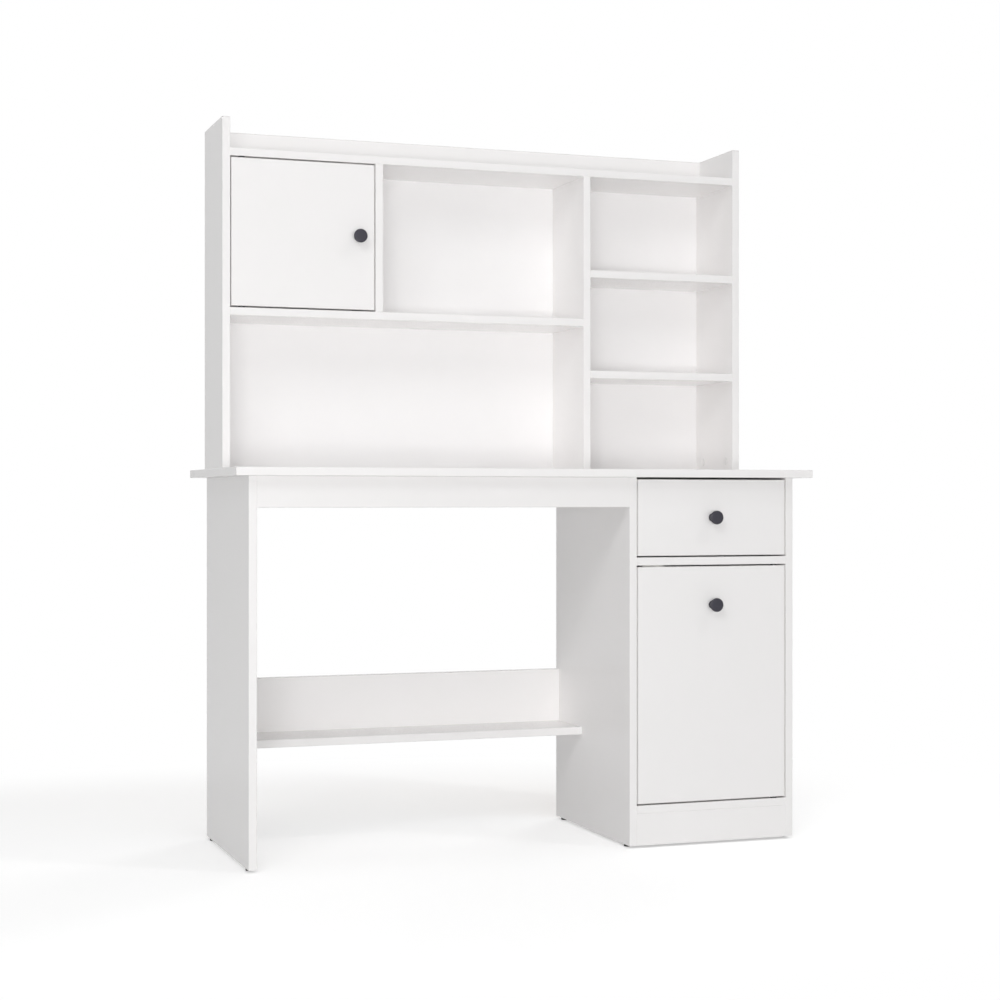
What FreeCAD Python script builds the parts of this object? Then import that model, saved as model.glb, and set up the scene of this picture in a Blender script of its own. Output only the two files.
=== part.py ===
"""Student desk with a hutch, as a parametric document of separate boards, fittings and moving fronts.

Frame: +X to the right as seen from the front, +Y to the back, +Z up, in millimetres. The origin is on the
floor, under the middle of the desktop.

Every size is a cell of the sheet "size". The planes on which boards meet are expressions over those cells,
written once below, and each board, bore and fitting is bound to them. Bores are cut by the same outlines
as the fittings that fill them.
"""
import FreeCAD
import Part
import Sketcher
import os
from FreeCAD import Rotation, Vector

SIZES = {
    # the desk
    "desk_width": 1200,          # desktop, left to right
    "desk_depth": 460,           # desktop, front to back
    "desk_height": 760,          # floor to the top of the desktop
    "board": 16,                 # melamine faced chipboard
    "side_overhang": 30,         # desktop past the outer faces of the panels
    "front_overhang": 30,        # desktop past the fronts of the panels
    "rear_overhang": 25,         # desktop past the backs of the panels
    "edge_bevel": 0.8,           # on the edges of the banding
    "apron_height": 60,          # rail under the front of the desktop
    "low_shelf_top": 216,        # floor to the top of the low shelf
    "low_shelf_depth": 148,      # low shelf and its back board together
    "low_back_rise": 113,        # back board above the top of the low shelf
    # the cabinet under the right end
    "cabinet_width": 366,        # over both of its side panels
    "drawer_bay_height": 161,    # clear height for the drawer under the desktop
    "cabinet_floor_top": 85,     # floor to the top of the bottom board
    "plinth_setback": 0.3,       # plinth behind the front of the bottom board
    "hardboard": 3,              # back panels and drawer bottom
    "back_margin": 3,            # back panels inside the outline of what they close
    # the hutch
    "hutch_depth": 185,          # side and back panel together
    "hutch_height": 702,         # desktop to the top of the hutch's sides
    "back_rail_height": 61,      # rail behind the top shelf, flush with the sides
    "open_bay_height": 307,      # desktop to the underside of the lower shelf
    "door_bay_width": 300,       # clear width behind the hutch door
    # doors and drawer front
    "front_gap": 3,              # above and below a front
    "side_gap": 2,               # at each side of a front
    "drawer_top_gap": 4,         # between the drawer front and the desktop
    "swing_gap": 0.6,            # left between a turning door's corner and its side panel
    "knob_drop": 78,             # lower door's knob under the top of its door
    "knob_edge": 35,             # hutch door's knob from the free edge of its door
    # knobs
    "knob_diameter": 28,
    "knob_length": 24,
    "knob_rim": 7,               # thickness of the disc
    "knob_foot": 17,             # diameter of the foot
    "knob_waist": 10,            # narrowest diameter
    "knob_waist_rise": 6,        # foot's cone, from the front to the waist
    "knob_screw": 4,
    "knob_screw_bite": 10,       # knob screw inside the knob
    "knob_screw_head": 8.5,
    "knob_screw_head_rise": 2.4,
    "knob_screw_play": 0.25,     # knob screw in its front, all round
    # door pivots
    "pivot_pin": 5,
    "pivot_pin_depth": 14,       # pin inside the door
    "pivot_pin_reach": 8,        # pin inside its bush, under the flange
    "pivot_play": 0.1,           # pin in its bush, all round
    "bush_wall": 2,
    "bush_flange": 13,
    "bush_floor": 1.5,           # bush past the end of the pin
    "bearing_gap": 0.3,          # between a flange and the end of the door
    # magnetic catches
    "catch_width": 46,
    "catch_ear": 7,              # screw ear at each end
    "catch_ear_sheet": 3,
    "catch_depth": 15,
    "catch_rise": 14,
    "catch_edge": 20,            # catch from the free side of the opening
    "strike_width": 38,
    "strike_rise": 12,
    "strike_sheet": 1.2,
    "strike_edge": 1,            # strike plate under the top of its door
    "catch_gap": 0.3,
    # floor glides
    "glide_height": 5,
    "glide_diameter": 15,
    "glide_inset": 30,           # glide's centre from the end of its panel
    # cam locks
    "cam_diameter": 15,
    "cam_depth": 12,
    "cam_setback": 24,           # cam's centre from the end of its board
    "bolt_diameter": 7,          # hexagonal, across its corners
    "bolt_bite": 11,             # bolt inside the board it holds
    "panel_joint_inset": 60,     # cams and dowels from the front and back of the desk's boards
    "hutch_joint_inset": 35,     # cams from the front and back of the hutch's sides
    # glued dowels
    "dowel_diameter": 8,
    "dowel_length": 34,
    "dowel_bite": 11,            # dowel inside the board that the end grain meets
    # drawer box
    "slide_clearance": 12.5,     # drawer side to cabinet panel
    "drawer_board": 12,
    "drawer_rear_gap": 39,       # drawer box to the cabinet's back panel
    "drawer_box_height": 110,
    "drawer_box_lift": 12,       # drawer box above the board under it
    "groove_depth": 6,
    "groove_lift": 10,           # groove above the bottom of the box
    "groove_play": 0.1,          # over and under the drawer's bottom
    "housing_depth": 4,          # box front and back let into the sides
    "front_screw": 4,
    "front_screw_head": 8,
    "front_screw_head_rise": 2,
    "front_screw_inset": 70,     # front screws from the drawer's sides
    "front_screw_bite": 12,      # front screw inside the drawer front
    # roller slides
    "slide_sheet": 1.2,
    "rail_flange": 9.5,          # cabinet rail, out from its panel
    "rail_start": 2,             # rails behind the drawer front
    "rail_lift": 5,              # cabinet rail above the bottom of the drawer box
    "roller_diameter": 17,
    "roller_width": 6,
    "roller_inset": 12,          # roller's centre from the end of its rail
    "roller_gap": 0.3,           # roller to flange
    "roller_play": 0.1,          # roller on its axle, all round
    "roller_standoff": 0.5,      # roller to the web that its axle is riveted to
    "axle_diameter": 4,
    "axle_head": 6.5,
    "axle_head_rise": 0.9,
    "runner_flange": 9,          # runner's top flange, out from its web
    "runner_ledge": 11,          # runner's ledge under the drawer side
}

doc = FreeCAD.newDocument("student_desk")
sheet = doc.addObject("Spreadsheet::Sheet", "size")
for row, (alias, millimetres) in enumerate(SIZES.items(), start=1):
    sheet.set(f"A{row}", alias)
    sheet.set(f"B{row}", str(millimetres))
    sheet.setAlias(f"B{row}", alias)
doc.recompute()

# Planes across the desk, from left to right
DESK_LEFT = "(-size.desk_width / 2)"
DESK_RIGHT = "(size.desk_width / 2)"
LEFT_OUT = f"({DESK_LEFT} + size.side_overhang)"         # left leg panel and hutch side, outer face
LEFT_IN = f"({LEFT_OUT} + size.board)"
RIGHT_OUT = f"({DESK_RIGHT} - size.side_overhang)"       # right cabinet panel and hutch side, outer face
RIGHT_IN = f"({RIGHT_OUT} - size.board)"
CABINET_OUT = f"({RIGHT_OUT} - size.cabinet_width)"      # left cabinet panel and tall divider, left face
CABINET_IN = f"({CABINET_OUT} + size.board)"
DOOR_BAY_END = f"({LEFT_IN} + size.door_bay_width)"      # short divider, left face
CUBBY_START = f"({DOOR_BAY_END} + size.board)"
# Planes from front to back
DESK_FRONT = "(-size.desk_depth / 2)"
DESK_BACK = "(size.desk_depth / 2)"
FRONT = f"({DESK_FRONT} + size.front_overhang)"          # front of the desk's panels
BACK = f"({DESK_BACK} - size.rear_overhang)"
HUTCH_FRONT = f"({DESK_BACK} - size.hutch_depth)"
HUTCH_BACK = f"({DESK_BACK} - size.hardboard)"           # back of the hutch's boards
# Planes from the floor up
PANEL_BOTTOM = "size.glide_height"
UNDER_TOP = "(size.desk_height - size.board)"
TOP = "size.desk_height"
MIDDLE_TOP = f"({UNDER_TOP} - size.drawer_bay_height)"   # board between drawer and lower door
MIDDLE_BOTTOM = f"({MIDDLE_TOP} - size.board)"
FLOOR_TOP = "size.cabinet_floor_top"
FLOOR_BOTTOM = f"({FLOOR_TOP} - size.board)"
LOW_TOP = "size.low_shelf_top"
LOW_BOTTOM = f"({LOW_TOP} - size.board)"
LOWER_BOTTOM = "(size.desk_height + size.open_bay_height)"
LOWER_TOP = f"({LOWER_BOTTOM} + size.board)"
HUTCH_TOP = "(size.desk_height + size.hutch_height)"
CEILING_TOP = f"({HUTCH_TOP} - size.back_rail_height)"   # top shelf of the hutch
CEILING = f"({CEILING_TOP} - size.board)"
NICHE = f"(({CEILING} - {TOP} - 2 * size.board) / 3)"    # clear height of each corner compartment
# The drawer box and its slides
BOX_FRONT = f"({FRONT} + size.board)"
BOX_BACK = f"({BACK} - size.drawer_rear_gap)"
BOX_DEPTH = f"({BOX_BACK} - {BOX_FRONT})"
BOX_LEFT = f"({CABINET_IN} + size.slide_clearance)"
BOX_RIGHT = f"({RIGHT_IN} - size.slide_clearance)"
BOX_BOTTOM = f"({MIDDLE_TOP} + size.drawer_box_lift)"
RAIL_FRONT = f"({BOX_FRONT} + size.rail_start)"
RAIL_BOTTOM = f"({BOX_BOTTOM} + size.rail_lift)"
RUNNER_TOP = "(2 * size.slide_sheet + 2 * size.roller_gap + size.roller_diameter)"  # above RAIL_BOTTOM
RAIL_RISE = f"({RUNNER_TOP} + size.roller_gap + size.slide_sheet)"
ROLLER_HEIGHT = f"({RAIL_BOTTOM} + size.slide_sheet + size.roller_gap + size.roller_diameter / 2)"
# Doors turn about a line this far inside their edge, so that their corner just clears the side panel
FREE_SWING = "(size.side_gap - size.swing_gap)"
PIVOT_INSET = f"(((size.board / 2)^2 - {FREE_SWING}^2) / (2 * {FREE_SWING}))"

# Rows of joints from front to back
PANEL_ROWS = (f"({FRONT} + size.panel_joint_inset)", f"({BACK} - size.panel_joint_inset)")
HUTCH_ROWS = (f"({HUTCH_FRONT} + size.hutch_joint_inset)", f"({HUTCH_BACK} - size.hutch_joint_inset)")

TINY = 1e-4
AXES = {"x": Vector(1, 0, 0), "y": Vector(0, 1, 0), "z": Vector(0, 0, 1)}
finished = []


def number(expression):
    """The present value of an expression."""
    result = sheet.evalExpression(str(expression))
    return float(getattr(result, "Value", result))


def keep(item, name):
    """Name a finished sub-part, and list it for the export."""
    item.Label = name
    finished.append(item)
    return item


def set_at(item, x, y, z, turn=None):
    """Place an object: a fixed turn, and an origin bound to three expressions."""
    if turn is not None:
        item.Placement = FreeCAD.Placement(Vector(), turn)
    for axis, expression in zip("xyz", (x, y, z)):
        item.setExpression(f"Placement.Base.{axis}", str(expression))
    return item


def facing(normal, along):
    """The rotation that takes local Z to normal and local X to along."""
    return Rotation(along, normal.cross(along), normal, "ZXY")


# ---------------------------------------------------------------- sketches and features

def sketch_on(body, plane, lift=None):
    """An empty sketch on one of the body's own origin planes, lifted along the plane's normal."""
    profile = body.newObject("Sketcher::SketchObject", body.Name + "_sketch")
    base = next(item for item in body.Origin.OriginFeatures if item.Role == plane)
    profile.AttachmentSupport = [(base, "")]
    profile.MapMode = "FlatFace"
    if lift is not None:
        profile.setExpression("AttachmentOffset.Base.z", lift)
    return profile


def polygon(profile, corners):
    """Draw a closed outline through corners, which are pairs of expressions from the sketch's origin."""
    points = [Vector(number(across), number(up), 0) for across, up in corners]
    count = len(points)
    for start, end in zip(points, points[1:] + points[:1]):
        profile.addGeometry(Part.LineSegment(start, end), False)
    for side in range(count):
        profile.addConstraint(Sketcher.Constraint("Coincident", side, 2, (side + 1) % count, 1))
    for side, corner in enumerate(corners):
        for kind, expression in zip(("DistanceX", "DistanceY"), corner):
            rule = Sketcher.Constraint(kind, -1, 1, side, 1, number(expression))
            profile.setExpression(f"Constraints[{profile.addConstraint(rule)}]", str(expression))
    return profile


def feature(body, kind, profile, length, reverse=False):
    """A Pad along the sketch's normal, or a Pocket against it; reverse turns either one round."""
    result = body.newObject(f"PartDesign::{kind}", f"{body.Name}_{kind.lower()}")
    result.Profile = profile
    result.Reversed = reverse
    result.setExpression("Length", str(length))
    profile.Visibility = False
    return result


def turned(name, corners):
    """A body turned about Z from half an outline: pairs of radius and height."""
    body = doc.addObject("PartDesign::Body", name)
    profile = polygon(sketch_on(body, "XZ_Plane"), corners)
    turning = body.newObject("PartDesign::Revolution", name + "_turning")
    turning.Profile = profile
    turning.ReferenceAxis = (profile, ["V_Axis"])
    turning.Angle = 360
    profile.Visibility = False
    return body


def prism(name, sides, diameter, deep, high):
    """A regular prism about local Z from deep up to high, of that diameter across its corners."""
    shape = doc.addObject("Part::Prism", name)
    shape.Polygon = sides
    shape.setExpression("Circumradius", f"{diameter} / 2")
    shape.setExpression("Height", f"{high} - {deep}")
    shape.setExpression("Placement.Base.z", deep)
    return shape


def joined(name, first, second):
    """Two overlapping or touching shapes as one solid."""
    fuse = doc.addObject("Part::Fuse", name)
    fuse.Base = first
    fuse.Tool = second
    return fuse


def swept_along_y(name, corners, length):
    """A body with one outline, given across and up, all the way back along Y."""
    body = doc.addObject("PartDesign::Body", name)
    feature(body, "Pad", polygon(sketch_on(body, "XZ_Plane"), corners), length, reverse=True)
    return body


def bevelled(body, picked):
    """Bevel the edges of the body's last feature that the function picked accepts."""
    doc.recompute()
    base = body.Tip
    names = [f"Edge{place}" for place, edge in enumerate(base.Shape.Edges, start=1) if picked(edge)]
    bevel = body.newObject("PartDesign::Chamfer", body.Name + "_bevel")
    bevel.Base = (base, names)
    bevel.setExpression("Size", "size.edge_bevel")
    return bevel


def banded(along, whole=False):
    """Pick the straight edges along the named axes: those of the front face, or of the whole board."""
    def picked(edge):
        start, end = (vertex.Point for vertex in edge.Vertexes)
        runs = [axis for axis, way in AXES.items() if abs((end - start).normalize().dot(way)) > 1 - TINY]
        return runs[0] in along and (whole or max(abs(start.y), abs(end.y)) < TINY)
    return picked


def board(name, low, high, band=None):
    """A board between two corners, padded from the sketch of its footprint, its banded edges bevelled."""
    width, depth, height = (f"({end} - {start})" for start, end in zip(low, high))
    body = doc.addObject("PartDesign::Body", name + "_blank")
    outline = [("0", "0"), (width, "0"), (width, depth), ("0", depth)]
    feature(body, "Pad", polygon(sketch_on(body, "XY_Plane"), outline), height)
    if band:
        bevelled(body, band)
    return set_at(body, *low)


def drilled(name, blank, bores):
    """The blank with the given bores cut out, as a finished sub-part."""
    cut = doc.addObject("Part::Cut", name)
    cut.Base = blank
    cut.Tool = bores
    return keep(cut, name)


def group(name, members):
    """Separate solids that share one node."""
    compound = doc.addObject("Part::Compound", name)
    compound.Links = members
    return compound


def copies(name, template, places):
    """Links to a template, one for each place: three expressions and a rotation."""
    links = []
    for x, y, z, turn in places:
        link = doc.addObject("App::Link", name + "_copy")
        link.LinkedObject = template
        links.append(set_at(link, x, y, z, turn))
    return group(name, links)


# ---------------------------------------------------------------- cam locks and dowels

# Local frame of a cam lock: the origin is where the cam's axis crosses the bolt's, half way through the
# board; Z points out of the face that the cam is set in, and X along the bolt to the board it holds.
CAM_BASE = "(size.board / 2 - size.cam_depth)"


def cam_cylinder(name):
    """The cam's outline, which its bore shares."""
    return prism(name, 12, "size.cam_diameter", CAM_BASE, "size.board / 2")


def bolt_shank(name):
    """The bolt's outline from the cam's middle to its end in the next board. Its axis is local Z."""
    return prism(name, 6, "size.bolt_diameter", "0", "(size.cam_setback + size.bolt_bite)")


def cam_template():
    """The cam: a disc with a slot for the bolt's end, open to the side and to the bottom of the bore."""
    slot = doc.addObject("Part::Box", "cam_slot")
    slot.setExpression("Length", "size.cam_diameter")
    slot.setExpression("Width", "size.bolt_diameter")
    slot.setExpression("Height", f"size.bolt_diameter / 2 - {CAM_BASE}")
    set_at(slot, "0", "-size.bolt_diameter / 2", CAM_BASE)
    cam = doc.addObject("Part::Cut", "cam")
    cam.Base = cam_cylinder("cam_blank")
    cam.Tool = slot
    return cam


def cam_bore_template():
    """What a cam lock takes out of the two boards: the cam's bore, and the bolt's across both."""
    bolt = bolt_shank("bolt_bore")
    bolt.Placement = FreeCAD.Placement(Vector(), facing(AXES["x"], AXES["z"]))
    return joined("cam_bore", cam_cylinder("cam_seat"), bolt)


def ends(low, high, across, up, face, setback):
    """A joint at each end of a board that runs along X from low to high: places, faces and directions."""
    return [(f"({low} + {setback})", across, up, face, -AXES["x"]),
            (f"({high} - {setback})", across, up, face, AXES["x"])]


def cam_places():
    """Every cam lock: what holds the desktop, the apron and the low back board, and the hutch's sides."""
    x, y, z, setback = AXES["x"], AXES["y"], AXES["z"], "size.cam_setback"
    half = "size.board / 2"
    head, foot = f"({UNDER_TOP} - {setback})", f"({TOP} + {setback})"
    places = []
    for row in PANEL_ROWS:
        places.append((f"({LEFT_OUT} + {half})", row, head, x, z))
        places.append((f"({CABINET_OUT} + {half})", row, head, x, z))
        places.append((f"({RIGHT_IN} + {half})", row, head, -x, z))
    for row in HUTCH_ROWS:
        places.append((f"({LEFT_OUT} + {half})", row, foot, x, -z))
        places.append((f"({RIGHT_IN} + {half})", row, foot, -x, -z))
    for across, up in ((f"({FRONT} + {half})", f"({UNDER_TOP} - size.apron_height / 2)"),
                       (f"({BACK} - {half})", f"({LOW_TOP} + size.low_back_rise / 2)")):
        places += ends(LEFT_IN, CABINET_OUT, across, up, y, setback)
    return places


def dowel_places():
    """Every glued dowel, at the end of its board: the cabinet's boards, the shelves and the dividers."""
    y, z, half = AXES["y"], AXES["z"], "size.board / 2"
    hutch_middle = f"(({HUTCH_FRONT} + {HUTCH_BACK}) / 2)"
    plinth_middle = f"({FRONT} + size.plinth_setback + {half})"
    low_shelf_middle = f"({BACK} - (size.low_shelf_depth + size.board) / 2)"
    runs = [(CABINET_IN, RIGHT_IN, row, f"({level} - {half})") for row in PANEL_ROWS
            for level in (MIDDLE_TOP, FLOOR_TOP)]
    runs += [
        (CABINET_IN, RIGHT_IN, plinth_middle, f"(({PANEL_BOTTOM} + {FLOOR_BOTTOM}) / 2)"),
        (LEFT_IN, CABINET_OUT, low_shelf_middle, f"({LOW_TOP} - {half})"),
        (LEFT_IN, RIGHT_IN, hutch_middle, f"({CEILING} + {half})"),
        (LEFT_IN, CABINET_OUT, hutch_middle, f"({LOWER_BOTTOM} + {half})"),
        (CABINET_IN, RIGHT_IN, hutch_middle, f"({TOP} + {NICHE} + {half})"),
        (CABINET_IN, RIGHT_IN, hutch_middle, f"({CEILING} - {NICHE} - {half})"),
        (LEFT_IN, RIGHT_IN, f"({HUTCH_BACK} - {half})", f"(({CEILING_TOP} + {HUTCH_TOP}) / 2)"),
    ]
    places = []
    for low, high, across, up in runs:
        places += ends(low, high, across, up, z, "0")
    for middle, foot in ((f"({CABINET_OUT} + {half})", TOP), (f"({DOOR_BAY_END} + {half})", LOWER_TOP)):
        places += [(middle, hutch_middle, foot, y, -z), (middle, hutch_middle, CEILING, y, z)]
    return places


def board_joints():
    """All cams, bolts and dowels, as three groups, and the bores that they fill."""
    spots = cam_places()
    across = [(x, y, z, facing(face, way)) for x, y, z, face, way in spots]
    along = [(x, y, z, facing(way, face)) for x, y, z, face, way in spots]
    keep(copies("cam_discs", cam_template(), across), "cam_discs")
    keep(copies("cam_bolts", bolt_shank("bolt"), along), "cam_bolts")
    inner_end = "(size.dowel_bite - size.dowel_length)"
    dowel = group("dowel", [prism("dowel_peg", 8, "size.dowel_diameter", inner_end, "size.dowel_bite")])
    spots = [(x, y, z, facing(way, face)) for x, y, z, face, way in dowel_places()]
    dowels = keep(copies("wood_dowels", dowel, spots), "wood_dowels")
    return [copies("cam_bores", cam_bore_template(), across), dowels]


# ---------------------------------------------------------------- boards

def desk_boards(bores):
    """The desktop, its left leg, the apron, and the low shelf with its back board."""
    along_x, along_z = banded("x"), banded("z")
    boards = {
        "desktop": board("desktop", (DESK_LEFT, DESK_FRONT, UNDER_TOP), (DESK_RIGHT, DESK_BACK, TOP),
                         banded("xy", whole=True)),
        "left_leg_panel": board("left_leg_panel", (LEFT_OUT, FRONT, PANEL_BOTTOM), (LEFT_IN, BACK, UNDER_TOP),
                                along_z),
        "front_apron": board("front_apron", (LEFT_IN, FRONT, f"({UNDER_TOP} - size.apron_height)"),
                             (CABINET_OUT, f"({FRONT} + size.board)", UNDER_TOP), along_x),
        "low_shelf": board("low_shelf", (LEFT_IN, f"({BACK} - size.low_shelf_depth)", LOW_BOTTOM),
                           (CABINET_OUT, f"({BACK} - size.board)", LOW_TOP), along_x),
        "low_back_board": board("low_back_board", (LEFT_IN, f"({BACK} - size.board)", LOW_BOTTOM),
                                (CABINET_OUT, BACK, f"({LOW_TOP} + size.low_back_rise)"), along_x),
    }
    for name, blank in boards.items():
        drilled(name, blank, bores)


def cabinet_boards(bores):
    """The cabinet: two panels, the board under the drawer, the bottom board, the plinth and the back."""
    along_x, along_z = banded("x"), banded("z")
    plinth_front = f"({FRONT} + size.plinth_setback)"
    boards = {
        "cabinet_left_panel": board("cabinet_left_panel", (CABINET_OUT, FRONT, PANEL_BOTTOM),
                                    (CABINET_IN, BACK, UNDER_TOP), along_z),
        "cabinet_right_panel": board("cabinet_right_panel", (RIGHT_IN, FRONT, PANEL_BOTTOM),
                                     (RIGHT_OUT, BACK, UNDER_TOP), along_z),
        "cabinet_middle_board": board("cabinet_middle_board", (CABINET_IN, FRONT, MIDDLE_BOTTOM),
                                      (RIGHT_IN, BACK, MIDDLE_TOP), along_x),
        "cabinet_bottom_board": board("cabinet_bottom_board", (CABINET_IN, FRONT, FLOOR_BOTTOM),
                                      (RIGHT_IN, BACK, FLOOR_TOP), along_x),
        "cabinet_plinth": board("cabinet_plinth", (CABINET_IN, plinth_front, PANEL_BOTTOM),
                                (RIGHT_IN, f"({plinth_front} + size.board)", FLOOR_BOTTOM)),
    }
    for name, blank in boards.items():
        drilled(name, blank, bores)
    keep(board("cabinet_back_panel",
               (f"({CABINET_OUT} + size.back_margin)", BACK, f"({FLOOR_BOTTOM} + size.back_margin)"),
               (f"({RIGHT_OUT} - size.back_margin)", f"({BACK} + size.hardboard)",
                f"({UNDER_TOP} - size.back_margin)")), "cabinet_back_panel")


def hutch_boards(bores):
    """The hutch: sides, shelves, dividers, the rail behind the top shelf, and the back."""
    along_x, along_z = banded("x"), banded("z")
    boards = {
        "hutch_left_side": board("hutch_left_side", (LEFT_OUT, HUTCH_FRONT, TOP),
                                 (LEFT_IN, HUTCH_BACK, HUTCH_TOP), along_z),
        "hutch_right_side": board("hutch_right_side", (RIGHT_IN, HUTCH_FRONT, TOP),
                                  (RIGHT_OUT, HUTCH_BACK, HUTCH_TOP), along_z),
        "hutch_top_shelf": board("hutch_top_shelf", (LEFT_IN, HUTCH_FRONT, CEILING),
                                 (RIGHT_IN, HUTCH_BACK, CEILING_TOP), along_x),
        "hutch_back_rail": board("hutch_back_rail", (LEFT_IN, f"({HUTCH_BACK} - size.board)", CEILING_TOP),
                                 (RIGHT_IN, HUTCH_BACK, HUTCH_TOP), along_x),
        "hutch_lower_shelf": board("hutch_lower_shelf", (LEFT_IN, HUTCH_FRONT, LOWER_BOTTOM),
                                   (CABINET_OUT, HUTCH_BACK, LOWER_TOP), along_x),
        "hutch_tall_divider": board("hutch_tall_divider", (CABINET_OUT, HUTCH_FRONT, TOP),
                                    (CABINET_IN, HUTCH_BACK, CEILING), along_z),
        "hutch_short_divider": board("hutch_short_divider", (DOOR_BAY_END, HUTCH_FRONT, LOWER_TOP),
                                     (CUBBY_START, HUTCH_BACK, CEILING), along_z),
    }
    for level, name in enumerate(("corner_shelf_lower", "corner_shelf_upper"), start=1):
        top = f"({TOP} + {level} * ({NICHE} + size.board))"
        boards[name] = board(name, (CABINET_IN, HUTCH_FRONT, f"({top} - size.board)"),
                             (RIGHT_IN, HUTCH_BACK, top), along_x)
    for name, blank in boards.items():
        drilled(name, blank, bores)
    keep(board("hutch_back_panel", (f"({LEFT_OUT} + size.back_margin)", HUTCH_BACK, TOP),
               (f"({RIGHT_OUT} - size.back_margin)", DESK_BACK, f"({HUTCH_TOP} - size.back_margin)")),
         "hutch_back_panel")


def floor_glides():
    """A round glide under the front and the back of each panel that reaches the floor."""
    glide = prism("glide", 12, "size.glide_diameter", "0", "size.glide_height")
    places = []
    for panel in (LEFT_OUT, CABINET_OUT, RIGHT_IN):
        for row in (f"({FRONT} + size.glide_inset)", f"({BACK} - size.glide_inset)"):
            places.append((f"({panel} + size.board / 2)", row, "0", Rotation()))
    keep(copies("floor_glides", glide, places), "floor_glides")


# ---------------------------------------------------------------- knobs and screws

OUTWARD = Rotation(Vector(1, 0, 0), 90)       # takes local Z to -Y, out of the fronts


def screw_template(name, shank, head, head_rise, length):
    """A screw with a flat head: the head is below local Z = 0, and the shank above it."""
    return joined(name, prism(name + "_head", 12, head, f"(-{head_rise})", "0"),
                  prism(name + "_shank", 12, shank, f"(-{head_rise})", length))


def knob(name, x, y, z, grip):
    """A mushroom knob on a front: a conical foot, a waist and a flat disc.

    Its screw comes through a grip of the given thickness from behind. Returns the screw's clear hole.
    """
    back = f"({y} + {grip})"
    screw = screw_template(name + "_screw", "size.knob_screw", "size.knob_screw_head",
                           "size.knob_screw_head_rise", f"({grip} + size.knob_screw_bite)")
    keep(set_at(screw, x, back, z, OUTWARD), name + "_screw")
    foot, waist, disc = "size.knob_foot / 2", "size.knob_waist / 2", "size.knob_diameter / 2"
    under = "(size.knob_length - size.knob_rim)"
    body = turned(name + "_blank", [("0", "0"), (foot, "0"), (waist, "size.knob_waist_rise"), (waist, under),
                                    (disc, under), (disc, "size.knob_length"), ("0", "size.knob_length")])
    drilled(name, set_at(body, x, y, z, OUTWARD), screw)
    hole = prism(name + "_hole", 12, "(size.knob_screw + 2 * size.knob_screw_play)", "0", grip)
    return set_at(hole, x, back, z, OUTWARD)


# ---------------------------------------------------------------- doors

BUSH_BOTTOM = "(-size.pivot_pin_reach - size.bush_floor)"


def bush_sleeve(name):
    """The sleeve of a pivot bush, which its seat shares."""
    bore = "(size.pivot_pin + 2 * size.pivot_play)"
    return prism(name, 12, f"({bore} + 2 * size.bush_wall)", BUSH_BOTTOM, "0")


def pivot_bush_template():
    """A flanged bush with a closed end; its flange faces local +Z and its seat is at local Z = 0."""
    flange = prism("bush_flange", 12, "size.bush_flange", "0", "(size.front_gap - size.bearing_gap)")
    bore = doc.addObject("Part::Cylinder", "bush_bore")
    bore.setExpression("Radius", "size.pivot_pin / 2 + size.pivot_play")
    bore.setExpression("Height", "size.pivot_pin_reach + size.front_gap")
    bore.setExpression("Placement.Base.z", "-size.pivot_pin_reach")
    bush = doc.addObject("Part::Cut", "pivot_bush")
    bush.Base = joined("bush_blank", flange, bush_sleeve("bush_sleeve"))
    bush.Tool = bore
    return bush


def pivot_pin_template():
    """A steel pin: local Z = 0 is at the seat of its bush, and it runs up into the door."""
    radius = "size.pivot_pin / 2"
    top = "(size.front_gap + size.pivot_pin_depth)"
    tip = "(size.bearing_gap - size.pivot_pin_reach)"
    return turned("pivot_pin", [("0", tip), (radius, tip), (radius, top), ("0", top)])


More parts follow.
